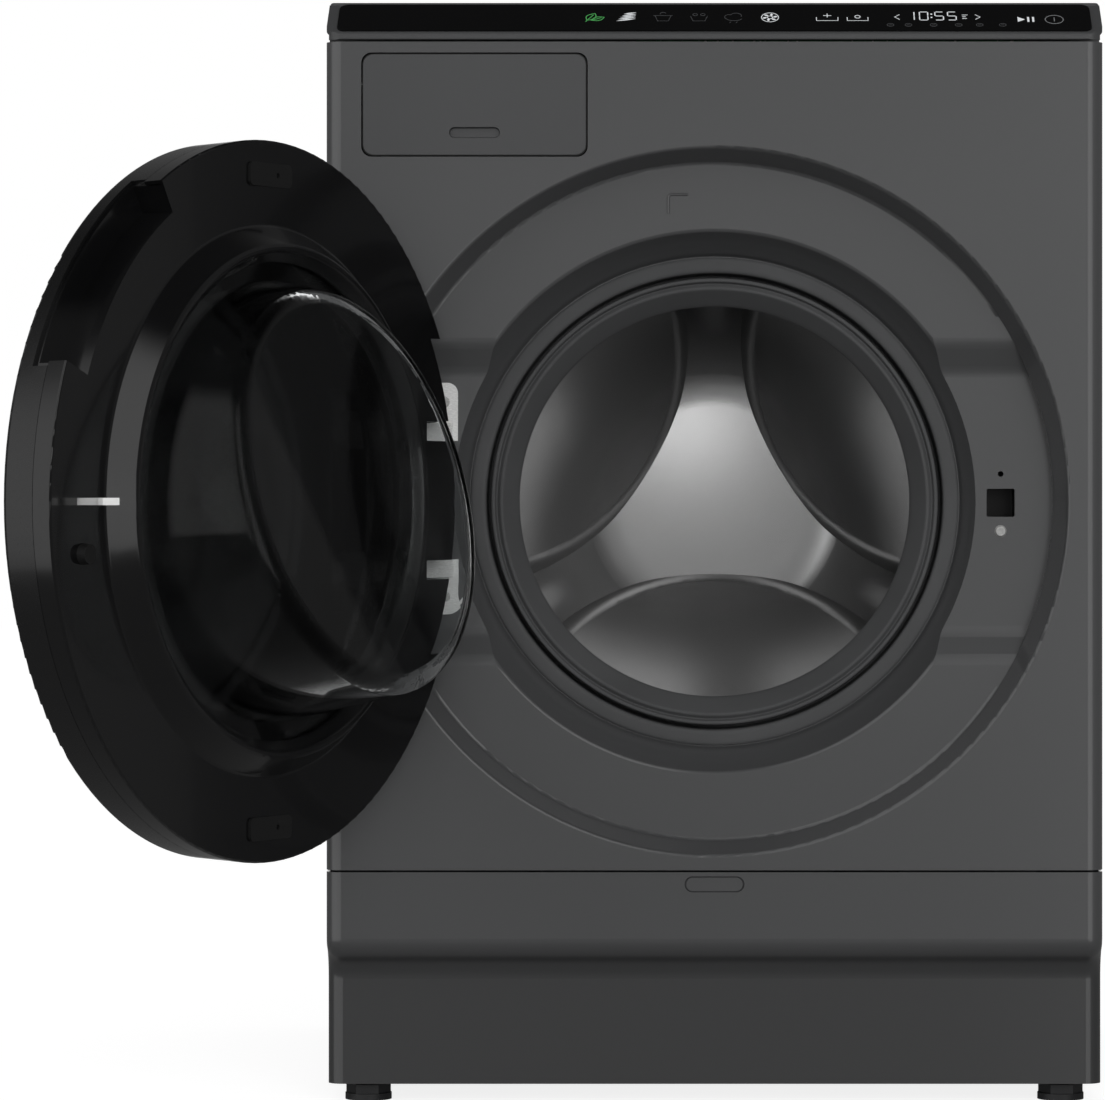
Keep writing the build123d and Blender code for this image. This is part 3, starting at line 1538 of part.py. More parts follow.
# Tub front: collar for the seal, front wall, barrel and flange
tub_collar_radius = bead_inner - running_gap
tub_flange_radius = tub_outer_radius + tub_flange_width
collar_front = tub_front_depth - tub_collar_length
bolt_orbit = tub_outer_radius + tub_flange_width / 2
with BuildPart() as tub_front:
    with BuildSketch(drum_section):
        with BuildLine():
            Polyline(
                (tub_collar_radius, collar_front),
                (tub_collar_radius, tub_front_depth),
                (tub_outer_radius, tub_front_depth),
                (tub_outer_radius, tub_split_depth - tub_flange_thickness),
                (tub_flange_radius, tub_split_depth - tub_flange_thickness),
                (tub_flange_radius, tub_split_depth),
                (tub_radius, tub_split_depth),
                (tub_radius, tub_front_depth + tub_wall),
                (tub_collar_radius - tub_wall, tub_front_depth + tub_wall),
                (tub_collar_radius - tub_wall, collar_front),
                close=True,
            )
        make_face()
    revolve(axis=drum_axis)
    with BuildSketch(level_plane(sump_bottom)):
        with Locations((sump_x, sump_depth)):
            Circle(sump_radius)
    extrude(amount=axis_height - sump_bottom - sqrt(tub_radius**2 - (sump_x + sump_radius) ** 2))
    with BuildSketch(axis_plane(tub_front_depth + tub_wall)):
        Circle(tub_radius)
    extrude(amount=-(tub_split_depth - tub_front_depth), mode=Mode.SUBTRACT)
    with BuildSketch(level_plane(sump_bottom)):
        with Locations((sump_x, sump_depth)):
            Circle(sump_radius - wall)
    extrude(amount=axis_height - sump_bottom - tub_radius / 2, mode=Mode.SUBTRACT)
    with BuildSketch(axis_plane(tub_split_depth - tub_flange_thickness)):
        with PolarLocations(bolt_orbit, tub_bolt_count):
            Circle(tub_bolt_radius)
    extrude(amount=-tub_flange_thickness, mode=Mode.SUBTRACT)
    heater_z = -sqrt(heater_orbit**2 - heater_half_gap**2)
    with BuildSketch(axis_plane(tub_front_depth)):
        with Locations((-heater_half_gap, heater_z), (heater_half_gap, heater_z)):
            Circle(heater_rod_radius)
    extrude(amount=-tub_wall, mode=Mode.SUBTRACT)
save(tub_front, "tub_front")

# Tub rear: barrel, ribbed back wall, bearing hub, and lugs for the dampers and the motor
wall_middle_radius = tub_radius + tub_wall / 2
with BuildPart() as tub_rear:
    with BuildSketch(drum_section):
        with BuildLine():
            Polyline(
                (tub_radius, tub_split_depth),
                (tub_flange_radius, tub_split_depth),
                (tub_flange_radius, tub_split_depth + tub_flange_thickness),
                (tub_outer_radius, tub_split_depth + tub_flange_thickness),
                (tub_outer_radius, tub_back_depth),
                (hub_radius, tub_back_depth),
                (hub_radius, hub_rear_depth),
                (0, hub_rear_depth),
                (0, hub_front_depth),
                (hub_radius, hub_front_depth),
                (hub_radius, tub_back_depth - tub_wall),
                (tub_radius, tub_back_depth - tub_wall),
                close=True,
            )
        make_face()
    revolve(axis=drum_axis)
    with BuildSketch(axis_plane(tub_back_depth - tub_wall / 2)):
        with PolarLocations((hub_radius + tub_radius) / 2, tub_rib_count):
            Rectangle(tub_radius - hub_radius + tub_wall, tub_rib_width)
    extrude(amount=-tub_rib_height)
    for lug_x, lug_depth, lug_end in (
        (damper_x, damper_depth, damper_rod_top),
        (spring_x, spring_depth, spring_bottom),
    ):
        with BuildSketch(front_plane(lug_depth - lug_width / 2)):
            with Locations((-lug_x, (lug_end + axis_height) / 2), (lug_x, (lug_end + axis_height) / 2)):
                Rectangle(lug_width, abs(lug_end - axis_height))
            with Locations((0, axis_height)):
                Circle(wall_middle_radius, mode=Mode.SUBTRACT)
        extrude(amount=-lug_width)
    for share in (1, 3):
        with BuildSketch(front_plane(motor_front_depth + (share * motor_length - lug_width) / 4)):
            with Locations((motor_x, (motor_height + axis_height) / 2)):
                Rectangle(2 * lug_width, axis_height - motor_height)
            with Locations((0, axis_height)):
                Circle(wall_middle_radius, mode=Mode.SUBTRACT)
            with Locations((motor_x, motor_height)):
                Circle(motor_radius, mode=Mode.SUBTRACT)
        extrude(amount=-lug_width)
    with BuildSketch(drum_section):
        with BuildLine():
            Polyline(
                (0, hub_front_depth),
                (bearing_front_radius, hub_front_depth),
                (bearing_front_radius, bearing_front_start + bearing_front_width),
                (shaft_front_radius + seam, bearing_front_start + bearing_front_width),
                (shaft_front_radius + seam, bearing_rear_start),
                (bearing_rear_radius, bearing_rear_start),
                (bearing_rear_radius, hub_rear_depth),
                (0, hub_rear_depth),
                close=True,
            )
        make_face()
    revolve(axis=drum_axis, mode=Mode.SUBTRACT)
    with BuildSketch(axis_plane(tub_split_depth)):
        with PolarLocations(bolt_orbit, tub_bolt_count):
            Circle(tub_bolt_radius)
    extrude(amount=-tub_flange_thickness, mode=Mode.SUBTRACT)
save(tub_rear, "tub_rear")

with BuildPart() as tub_bolts:
    with BuildSketch(axis_plane(tub_split_depth + tub_flange_thickness)):
        with PolarLocations(bolt_orbit, tub_bolt_count):
            Circle(tub_bolt_radius)
    extrude(amount=2 * tub_flange_thickness)
    with BuildSketch(axis_plane(tub_split_depth - tub_flange_thickness)):
        with PolarLocations(bolt_orbit, tub_bolt_count):
            RegularPolygon(tub_bolt_head, 6)
    extrude(amount=tub_bolt_radius)
save(tub_bolts, "tub_bolts")

# Counterweights: a ring in two halves on the tub's front, and a block on top
with BuildPart() as counterweights:
    with BuildSketch(axis_plane(tub_front_depth)):
        Circle(ballast_outer_radius)
        Circle(ballast_inner_radius, mode=Mode.SUBTRACT)
        Rectangle(cab_width, 2 * ballast_thickness, mode=Mode.SUBTRACT)
        with Locations((0, heater_z)):
            Rectangle(4 * heater_half_gap, 4 * heater_plate_height, mode=Mode.SUBTRACT)
    extrude(amount=ballast_thickness)
    ballast_mid = (ballast_top_left + ballast_top_right) / 2
    with BuildSketch(front_plane(ballast_top_front)):
        with Locations((ballast_mid, (axis_height + ballast_top_height) / 2)):
            Rectangle(ballast_top_right - ballast_top_left, ballast_top_height - axis_height)
        with Locations((0, axis_height)):
            Circle(tub_outer_radius, mode=Mode.SUBTRACT)
    extrude(amount=-ballast_top_length)
save(counterweights, "counterweights")

# Heater: a bent rod through the tub's front wall
with BuildPart() as heater:
    with BuildSketch(front_plane(tub_front_depth - heater_plate_thickness)):
        with Locations(
            (-heater_half_gap, axis_height + heater_z),
            (heater_half_gap, axis_height + heater_z),
        ):
            Circle(heater_rod_radius)
    extrude(amount=-heater_length - heater_plate_thickness)
    with BuildSketch(front_plane(tub_front_depth)):
        with Locations((0, axis_height + heater_z)):
            SlotOverall(4 * heater_half_gap - heater_plate_height, heater_plate_height)
    extrude(amount=heater_plate_thickness)
    with BuildSketch(side_plane(0)):
        with Locations((tub_front_depth + heater_length, axis_height + heater_z)):
            Circle(heater_rod_radius)
    extrude(amount=heater_half_gap, both=True)
save(heater, "heater")

# Drum pulley with its windows, and the bolt that holds it
web_front = pulley_depth + (pulley_width - pulley_web) / 2
with BuildPart() as drum_pulley:
    with BuildSketch(drum_section):
        with BuildLine():
            Polyline(
                (shaft_rear_radius, pulley_depth),
                (pulley_hub_radius, pulley_depth),
                (pulley_hub_radius, web_front),
                (pulley_radius - pulley_rim, web_front),
                (pulley_radius - pulley_rim, pulley_depth),
                (pulley_radius, pulley_depth),
                (pulley_radius, pulley_depth + pulley_width),
                (pulley_radius - pulley_rim, pulley_depth + pulley_width),
                (pulley_radius - pulley_rim, web_front + pulley_web),
                (pulley_hub_radius, web_front + pulley_web),
                (pulley_hub_radius, pulley_depth + pulley_width),
                (shaft_rear_radius, pulley_depth + pulley_width),
                close=True,
            )
        make_face()
    revolve(axis=drum_axis)
    with BuildSketch(axis_plane(pulley_depth)):
        with PolarLocations(pulley_window_orbit, pulley_window_count):
            Circle(pulley_window_radius)
    extrude(amount=-pulley_width, mode=Mode.SUBTRACT)
save(drum_pulley, "drum_pulley")

with BuildPart() as pulley_bolt:
    with BuildSketch(axis_plane(pulley_depth + pulley_width)):
        Circle(washer_radius)
    extrude(amount=-sheet)
    with BuildSketch(axis_plane(pulley_depth + pulley_width + sheet)):
        RegularPolygon(bolt_head_radius, 6)
    extrude(amount=-bolt_head_height)
save(pulley_bolt, "pulley_bolt")

# Motor under the tub: a finned case, with its shaft and small pulley as one turning piece
belt_start = pulley_depth + (pulley_width - belt_width) / 2
with BuildPart() as motor_body:
    with BuildSketch(front_plane(motor_front_depth)):
        with Locations((motor_x, motor_height)):
            Circle(motor_radius)
            with PolarLocations(motor_radius, motor_fin_count):
                Rectangle(2 * motor_fin_depth, motor_fin_width, mode=Mode.SUBTRACT)
    extrude(amount=-motor_length)
    with BuildSketch(front_plane(motor_rear_depth)):
        with Locations((motor_x, motor_height)):
            Circle(motor_shaft_radius + bearing_fit)
    extrude(amount=motor_length / 2, mode=Mode.SUBTRACT)
save(motor_body, "motor_body")

with BuildPart() as motor_pulley:
    with BuildSketch(front_plane(motor_rear_depth - motor_length / 2 + seam)):
        with Locations((motor_x, motor_height)):
            Circle(motor_shaft_radius)
    extrude(amount=-(pulley_depth + pulley_width - motor_rear_depth + motor_length / 2 - seam))
    with BuildSketch(front_plane(pulley_depth)):
        with Locations((motor_x, motor_height)):
            Circle(motor_pulley_radius)
    extrude(amount=-pulley_width)
save(motor_pulley, "motor_pulley")


def belt_loop(lift):
    """Loop round both pulleys at a lift off their faces."""
    with BuildSketch(mode=Mode.PRIVATE) as loop:
        with BuildLine():
            CenterArc((0, axis_height), pulley_radius + lift, 0, 360)
            CenterArc((motor_x, motor_height), motor_pulley_radius + lift, 0, 360)
        make_hull()
    return loop.sketch


with BuildPart() as drive_belt:
    with BuildSketch(front_plane(belt_start)):
        add(belt_loop(running_gap + belt_thickness))
        add(belt_loop(running_gap), mode=Mode.SUBTRACT)
    extrude(amount=-belt_width)
save(drive_belt, "drive_belt")

# Suspension: two springs from the cross rail, and two dampers on the base
spring_top = brace_top - brace_height
with BuildPart() as suspension_springs:
    for x in (-spring_x, spring_x):
        with BuildSketch(level_plane(spring_bottom)):
            with Locations((x, spring_depth)):
                Circle(spring_radius)
                Circle(spring_radius - spring_wire, mode=Mode.SUBTRACT)
        extrude(amount=spring_top - spring_bottom)
save(suspension_springs, "suspension_springs")

with BuildPart() as damper_cylinders:
    for x in (-damper_x, damper_x):
        with BuildSketch(level_plane(base_floor)):
            with Locations((x, damper_depth)):
                Circle(damper_radius)
        extrude(amount=damper_top - base_floor)
        with BuildSketch(level_plane(base_floor + damper_radius)):
            with Locations((x, damper_depth)):
                Circle(damper_rod_radius + damper_fit)
        extrude(amount=damper_top - base_floor, mode=Mode.SUBTRACT)
save(damper_cylinders, "damper_cylinders")

with BuildPart() as damper_rods:
    for x in (-damper_x, damper_x):
        with BuildSketch(level_plane(damper_rod_bottom)):
            with Locations((x, damper_depth)):
                Circle(damper_rod_radius)
        extrude(amount=damper_rod_top - damper_rod_bottom)
save(damper_rods, "damper_rods")

# Drain pump with its filter chamber, and the cap that turns in its mouth
pump_rear_depth = pump_front_depth + pump_length
pump_outlet_depth = pump_rear_depth - hose_radius - wall
with BuildPart() as drain_pump:
    with BuildSketch(front_plane(pump_front_depth)):
        with Locations((sump_x, pump_height)):
            Circle(pump_radius)
    extrude(amount=-pump_length)
    with BuildSketch(front_plane(pump_rear_depth)):
        with Locations((sump_x, pump_height)):
            Circle(pump_motor_radius)
    extrude(amount=-pump_motor_length)
    with BuildSketch(level_plane(base_floor)):
        with Locations((sump_x, pump_front_depth + pump_length / 2)):
            Rectangle(pump_stand_width, pump_stand_length)
    extrude(amount=pump_height - base_floor)
    with BuildSketch(level_plane(pump_height)):
        with Locations((sump_x, sump_depth)):
            Circle(sump_radius)
    extrude(amount=pump_inlet_top - pump_height)
    with BuildSketch(side_plane(sump_x)):
        with Locations((pump_outlet_depth, pump_height)):
            Circle(hose_bore)
    extrude(amount=pump_radius + pump_outlet_length)
    with BuildSketch(front_plane(pump_front_depth)):
        with Locations((sump_x, pump_height)):
            Circle(cap_radius - wall)
    extrude(amount=-pump_length + wall, mode=Mode.SUBTRACT)
    with BuildSketch(level_plane(pump_height)):
        with Locations((sump_x, sump_depth)):
            Circle(sump_radius - wall)
    extrude(amount=pump_inlet_top - pump_height, mode=Mode.SUBTRACT)
save(drain_pump, "drain_pump")

with BuildPart() as filter_cap:
    with BuildSketch(front_plane(pump_front_depth - running_gap)):
        with Locations((sump_x, pump_height)):
            Circle(cap_radius)
    extrude(amount=cap_thickness)
    with BuildSketch(front_plane(pump_front_depth - running_gap - cap_thickness)):
        with Locations((sump_x, pump_height)):
            RectangleRounded(cap_grip_length, cap_grip_width, cap_grip_round)
    extrude(amount=cap_grip_height, taper=cap_grip_draft)
    with BuildSketch(front_plane(pump_front_depth - running_gap)):
        with Locations((sump_x, pump_height)):
            Circle(cap_radius - wall - cap_fit)
    extrude(amount=-cap_plug_length)
save(filter_cap, "filter_cap")

# Ribbed hose from the tub's sump to the pump
sump_hose_bore = sump_radius + running_gap
sump_hose_bottom = pump_inlet_top - sump_overlap
sump_hose_top = sump_bottom + sump_overlap
rib_pitch = (sump_bottom - pump_inlet_top) / (sump_rib_count + 1)
sump_hose_outer = sump_hose_bore + sump_hose_wall
hose_section = Plane(origin=(sump_x, front_y + sump_depth, 0), x_dir=(1, 0, 0), z_dir=(0, -1, 0))
with BuildPart() as sump_hose:
    with BuildSketch(hose_section):
        with BuildLine():
            outline = [(sump_hose_outer, sump_hose_bottom)]
            for rib in range(sump_rib_count):
                rib_height = pump_inlet_top + rib_pitch * (rib + 1)
                outline.append((sump_hose_outer, rib_height - rib_pitch / 4))
                outline.append((sump_hose_outer + sump_rib_height, rib_height))
                outline.append((sump_hose_outer, rib_height + rib_pitch / 4))
            outline.append((sump_hose_outer, sump_hose_top))
            outline.append((sump_hose_bore, sump_hose_top))
            outline.append((sump_hose_bore, sump_hose_bottom))
            Polyline(*outline, close=True)
        make_face()
    revolve(axis=Axis((sump_x, front_y + sump_depth, 0), (0, 0, 1)))
save(sump_hose, "sump_hose")

# Drain hose inside the cabinet, from the pump to its outlet on the rear panel
outlet_face = rear_depth
hose_start = sump_x + pump_radius + seam
hose_route = [
    Vector(hose_start, front_y + pump_outlet_depth, pump_height),
    Vector(hose_x, front_y + pump_outlet_depth, pump_height),
    Vector(hose_x, front_y + hose_rear_depth, hose_low),
    Vector(hose_x, front_y + hose_rear_depth, outlet_height),
    Vector(hose_x, front_y + outlet_face - sheet, outlet_height),
]
with BuildPart() as drain_hose:
    with BuildLine():
        route = FilletPolyline(*hose_route, radius=[hose_bend, hose_bend, hose_top_bend])
    with BuildSketch(Plane(origin=route @ 0, z_dir=route % 0)):
        Circle(hose_radius)
        Circle(hose_bore, mode=Mode.SUBTRACT)
    sweep()
save(drain_hose, "drain_hose")

with BuildPart() as drain_outlet:
    with BuildSketch(front_plane(outlet_face)):
        with Locations((hose_x, outlet_height)):
            Circle(outlet_flange_radius)
            Circle(hose_bore - wall, mode=Mode.SUBTRACT)
    extrude(amount=-outlet_flange_thickness)
    with BuildSketch(front_plane(outlet_face + outlet_flange_thickness)):
        with Locations((hose_x, outlet_height)):
            Circle(outlet_radius)
            Circle(hose_bore - wall, mode=Mode.SUBTRACT)
    extrude(amount=-outlet_length)
save(drain_outlet, "drain_outlet")

# Inlet valve on the rear panel, and the hose from it to the dispenser
valve_front = cab_depth - valve_length
with BuildPart() as inlet_valve:
    with BuildSketch(front_plane(valve_front)):
        with Locations((inlet_x, inlet_height)):
            RectangleRounded(valve_width, valve_height, wall)
    extrude(amount=-(valve_length - 2 * sheet))
    with BuildSketch(front_plane(cab_depth - 2 * sheet)):
        with Locations((inlet_x, inlet_height)):
            Circle(inlet_thread_radius)
    extrude(amount=-(2 * sheet + sheet + inlet_length))
    with BuildSketch(front_plane(rear_depth + inlet_length)):
        with Locations((inlet_x, inlet_height)):
            Circle(inlet_bore_radius)
    extrude(amount=valve_length, mode=Mode.SUBTRACT)
save(inlet_valve, "inlet_valve")

with BuildPart() as fill_hose:
    with BuildSketch(front_plane(housing_back)):
        with Locations((inlet_x, inlet_height)):
            Circle(fill_hose_radius)
            Circle(fill_hose_bore, mode=Mode.SUBTRACT)
    extrude(amount=-(valve_front - housing_back))
save(fill_hose, "fill_hose")
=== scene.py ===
import json
from math import cos, pi, radians, sin

import bmesh
import bpy
from mathutils import Matrix, Vector


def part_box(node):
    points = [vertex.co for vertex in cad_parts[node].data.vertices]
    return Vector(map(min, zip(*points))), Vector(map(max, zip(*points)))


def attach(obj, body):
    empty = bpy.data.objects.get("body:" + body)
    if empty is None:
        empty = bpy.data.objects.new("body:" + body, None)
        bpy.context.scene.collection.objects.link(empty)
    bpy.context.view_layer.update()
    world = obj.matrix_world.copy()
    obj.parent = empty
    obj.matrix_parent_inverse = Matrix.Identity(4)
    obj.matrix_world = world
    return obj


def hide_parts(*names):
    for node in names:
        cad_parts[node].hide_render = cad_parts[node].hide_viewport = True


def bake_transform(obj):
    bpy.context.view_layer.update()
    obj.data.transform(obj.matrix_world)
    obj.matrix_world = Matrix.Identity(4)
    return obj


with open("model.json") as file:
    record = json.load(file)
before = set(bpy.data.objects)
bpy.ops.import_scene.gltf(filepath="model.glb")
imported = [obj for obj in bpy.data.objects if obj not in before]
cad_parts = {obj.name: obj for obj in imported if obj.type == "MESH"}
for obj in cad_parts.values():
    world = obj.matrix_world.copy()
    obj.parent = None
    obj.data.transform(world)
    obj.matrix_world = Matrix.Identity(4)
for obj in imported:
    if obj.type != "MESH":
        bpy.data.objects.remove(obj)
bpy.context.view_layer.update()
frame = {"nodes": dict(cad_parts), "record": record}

# Places that the washing machine shares with its solids, in metres, and a millimetre
FRONT_Y = -0.290
AXIS_Z = 0.464
MM = 0.001


# ---------------------------------------------------------------- node wiring
class Wire:
    """A socket of a node tree. Arithmetic on wires adds the Math nodes for it."""

    def __init__(self, tree, socket=None):
        self.tree = tree
        self.socket = socket

    def make(self, kind, settings, sockets, out=0):
        """Add any node: its settings first, then the values or links of its sockets."""
        node = self.tree.nodes.new(kind)
        for key, value in settings.items():
            setattr(node, key, value)
        for key, value in sockets.items():
            if isinstance(value, Wire):
                self.tree.links.new(value.socket, node.inputs[key])
            else:
                node.inputs[key].default_value = value
        return Wire(self.tree, node.outputs[out] if len(node.outputs) else None)

    def other(self, out):
        """Another output of the same node."""
        return Wire(self.tree, self.socket.node.outputs[out])

    def maths(self, operation, *values):
        """A Math node on wires or numbers."""
        return self.make("ShaderNodeMath", {"operation": operation}, dict(enumerate(values)))

    def __add__(self, other):
        return self.maths("ADD", self, other)

    def __sub__(self, other):
        return self.maths("SUBTRACT", self, other)

    def __rsub__(self, other):
        return self.maths("SUBTRACT", other, self)

    def __mul__(self, other):
        return self.maths("MULTIPLY", self, other)

    def __gt__(self, other):
        return self.maths("GREATER_THAN", self, other)

    def __lt__(self, other):
        return self.maths("LESS_THAN", self, other)

    __radd__ = __add__
    __rmul__ = __mul__

    def step(self, low, high):
        """Rises smoothly from 0 at low to 1 at high."""
        settings = {"interpolation_type": "SMOOTHSTEP"}
        sockets = {"Value": self, "From Min": low, "From Max": high}
        return self.make("ShaderNodeMapRange", settings, sockets)

    def band(self, start, full, fade, end):
        """Rises from start to full, and falls from fade to end."""
        return self.step(start, full) * (1 - self.step(fade, end))

    def place(self, stretch=(1, 1, 1)):
        """Where a point lies on the machine, in metres, stretched along each axis."""
        spot = self.make("ShaderNodeTexCoord", {}, {}, "Object")
        return self.vector("MULTIPLY", {0: spot, 1: stretch})

    def noise(self, scale, detail, stretch=(1, 1, 1)):
        """Soft random clouds, so many along a metre, with finer detail in them."""
        sockets = {"Vector": self.place(stretch), "Scale": scale, "Detail": detail}
        return self.make("ShaderNodeTexNoise", {}, sockets)

    def cells(self, scale, out="Distance"):
        """Random cells, so many along a metre: the distance to a middle, or a colour each."""
        sockets = {"Vector": self.place(), "Scale": scale}
        return self.make("ShaderNodeTexVoronoi", {"feature": "F1"}, sockets, out)

    def vector(self, operation, sockets, out=0):
        """A Vector Math node."""
        return self.make("ShaderNodeVectorMath", {"operation": operation}, sockets, out)

    def mix(self, share, first, second):
        """Blend of two colours."""
        sockets = {0: share, 6: first, 7: second}
        return self.make("ShaderNodeMix", {"data_type": "RGBA"}, sockets, 2)

    def bump(self, height, strength, distance):
        """A normal that follows a height."""
        sockets = {"Height": height, "Strength": strength, "Distance": distance}
        return self.make("ShaderNodeBump", {}, sockets)


def open_finish(name):
    """A new empty material, and the bench on which its nodes are made."""
    material = bpy.data.materials.new(name)
    material.use_nodes = True
    material.node_tree.nodes.clear()
    return material, Wire(material.node_tree)


def close_finish(material, bench, sockets):
    """End a material in a Principled shader with these sockets."""
    shader = bench.make("ShaderNodeBsdfPrincipled", {}, sockets)
    bench.make("ShaderNodeOutputMaterial", {}, {"Surface": shader})
    return material


def shade(colour, share):
    """A colour made lighter or darker, with its alpha."""
    return [min(1.0, c * share) for c in colour] + [1.0]


# ---------------------------------------------------------------- finishes
# Grain of the finishes: its count along a metre, how it is drawn out, and its depth in metres
FLOW_SCALE = 7.0
FLOW_STRETCH = (1.0, 1.0, 0.45)
SPARK_SCALE = 900.0
WIPE_SCALE = 26.0
WIPE_STRETCH = (1.0, 1.0, 4.0)
BRUSH_SCALE = 160.0
SPANGLE_SCALE = 130.0
PEEL_DEPTH = 0.0004
SKIN_DEPTH = 0.0003
SAND_DEPTH = 0.0006
PORE_DEPTH = 0.001
WAVE_DEPTH = 0.002
# Clear coat on the paint, and the polish on black
COAT = 0.8
COAT_ROUGHNESS = 0.12
POLISH = 0.2
POLISH_ROUGHNESS = 0.05
# Heights between which the kick panel steps back, and how dark the painted shade on it is below
STEP_LOW = 0.092
STEP_HIGH = 0.118
STEP_PAINTED_SHADE = 0.5
# Share of bare metal in the drum's polished sheet
DRUM_METAL = 0.78
# Holes in the drum's wall: their spacing in metres, columns in a radian and area in a cell, and
# the near black painted shade in them
HOLE_PITCH = 0.017
HOLES_PER_RADIAN = 90 / (2 * pi)
HOLE_SHARE = 0.02
HOLE_PAINTED_SHADE = [0.004, 0.004, 0.004, 1.0]
# Middle of the sphere that the door's dome is part of, with the door open as built,
# and how squarely a face looks outwards where it counts as dome
DOME_CENTRE = (0.8497, -1.1757, 0.464)
DOME_FACING = 0.9
# Colours of the board's pads and of the door glass, and how strongly that glass shines
TINNED = [0.6, 0.58, 0.52, 1.0]
GLASS_DEEP = [0.93, 0.95, 0.95, 1.0]
GLASS_PALE = [0.97, 0.98, 0.98, 1.0]
GLASS_SHINE = (0.2, 0.2, 0.2, 1.0)
GLASS_BEND = 1.45


def painted(name, colour, roughness):
    """Baked paint on sheet: a slow drift of tone, fine orange peel and a thin clear coat."""
    material, bench = open_finish(name)
    drift = bench.noise(3.0, 3.0)
    peel = bench.noise(420.0, 1.0)
    flake = bench.noise(2600.0, 0.0)
    tone = bench.mix(drift * 0.7 + flake * 0.3, shade(colour, 0.93), shade(colour, 1.07))
    return close_finish(material, bench, {
        "Base Color": tone,
        "Roughness": roughness - 0.04 + peel * 0.08,
        "Coat Weight": COAT,
        "Coat Roughness": COAT_ROUGHNESS,
        "Normal": bench.bump(peel, 0.05, PEEL_DEPTH),
    })


def moulded(name, colour, roughness, grain=0.08, grain_scale=SPARK_SCALE):
    """Moulded plastic: fine spark grain, flow marks and a slightly uneven sheen."""
    material, bench = open_finish(name)
    flow = bench.noise(FLOW_SCALE, 3.0, FLOW_STRETCH)
    spark = bench.cells(grain_scale)
    tone = bench.mix(flow, shade(colour, 0.92), shade(colour, 1.08))
    return close_finish(material, bench, {
        "Base Color": tone,
        "Roughness": roughness - 0.05 + flow * 0.06 + spark * 0.05,
        "Normal": bench.bump(spark, grain, SKIN_DEPTH),
    })


def stepped_plinth(name, colour, roughness):
    """The kick panel's moulding: its set back lower half is rougher, and painted darker as painted
    shade.
    """
    material, bench = open_finish(name)
    flow = bench.noise(FLOW_SCALE, 3.0, FLOW_STRETCH)
    spark = bench.cells(SPARK_SCALE)
    height = bench.make("ShaderNodeSeparateXYZ", {}, {0: bench.place()}, 2)
    # The set back lower half: rougher, and painted darker below as painted shade
    lower = 1 - height.step(STEP_LOW, STEP_HIGH)
    tone = bench.mix(flow, shade(colour, 0.95), shade(colour, 1.06))
    return close_finish(material, bench, {
        "Base Color": bench.mix(lower, tone, shade(colour, STEP_PAINTED_SHADE)),
        "Roughness": roughness - 0.03 + flow * 0.06 + lower * 0.06,
        "Coat Weight": COAT,
        "Coat Roughness": COAT_ROUGHNESS,
        "Normal": bench.bump(spark, 0.05, SKIN_DEPTH),
    })


def plated(name, colour, roughness):
    """Bright zinc plate with a pale passivated bloom."""
    material, bench = open_finish(name)
    bloom = bench.noise(70.0, 3.0)
    scratch = bench.noise(300.0, 2.0, (1.0, 1.0, 8.0))
    tone = bench.mix(bloom, shade(colour, 0.93), shade(colour, 1.06))
    return close_finish(material, bench, {
        "Base Color": tone,
        "Metallic": 0.05 + bloom * 0.15,
        "Roughness": roughness + scratch * 0.1,
        "Normal": bench.bump(scratch, 0.04, SKIN_DEPTH),
    })


def wiped(bench, colour):
    """Faint wiping marks on polished black, and the tone that they give it."""
    wipe = bench.noise(WIPE_SCALE, 4.0, WIPE_STRETCH)
    return wipe, bench.mix(wipe, shade(colour, 0.85), shade(colour, 1.15))


def gloss_black(name, colour, roughness):
    """Polished black moulding: deep, with faint wiping marks and specks of dust."""
    material, bench = open_finish(name)
    wipe, tone = wiped(bench, colour)
    dust = bench.noise(1400.0, 0.0)
    return close_finish(material, bench, {
        "Base Color": tone,
        "Roughness": roughness + wipe * 0.05 + (dust > 0.72) * 0.08,
        "Coat Weight": POLISH,
        "Coat Roughness": POLISH_ROUGHNESS,
    })


def domed_black(name, colour, roughness):
    """Polished black dome, shaded as the true sphere: its mesh is pinched at the middle."""
    material, bench = open_finish(name)
    wipe, tone = wiped(bench, colour)
    away = bench.vector("SUBTRACT", {0: bench.place(), 1: DOME_CENTRE})
    settings = {"vector_type": "NORMAL", "convert_from": "OBJECT", "convert_to": "WORLD"}
    sockets = {0: bench.vector("NORMALIZE", {0: away})}
    sphere = bench.make("ShaderNodeVectorTransform", settings, sockets)
    face = bench.make("ShaderNodeNewGeometry", {}, {}, "True Normal")
    facing = bench.vector("DOT_PRODUCT", {0: face, 1: sphere}, "Value")
    sockets = {0: facing > DOME_FACING, 4: face.other("Normal"), 5: sphere}
    return close_finish(material, bench, {
        "Base Color": tone,
        "Roughness": roughness + wipe * 0.05,
        "Coat Weight": POLISH,
        "Coat Roughness": POLISH_ROUGHNESS,
        "Normal": bench.make("ShaderNodeMix", {"data_type": "VECTOR"}, sockets, 1),
    })


def rubber(name, colour, roughness=0.62):
    """Moulded rubber: dull, with talc bloom and a very fine skin."""
    material, bench = open_finish(name)
    bloom = bench.noise(11.0, 4.0)
    skin = bench.noise(1500.0, 2.0)
    tone = bench.mix(bloom.step(0.35, 0.75), shade(colour, 0.92), shade(colour, 1.1))
    return close_finish(material, bench, {
        "Base Color": tone,
        "Roughness": roughness - 0.06 + bloom * 0.12,
        "Normal": bench.bump(skin, 0.12, SKIN_DEPTH),
    })


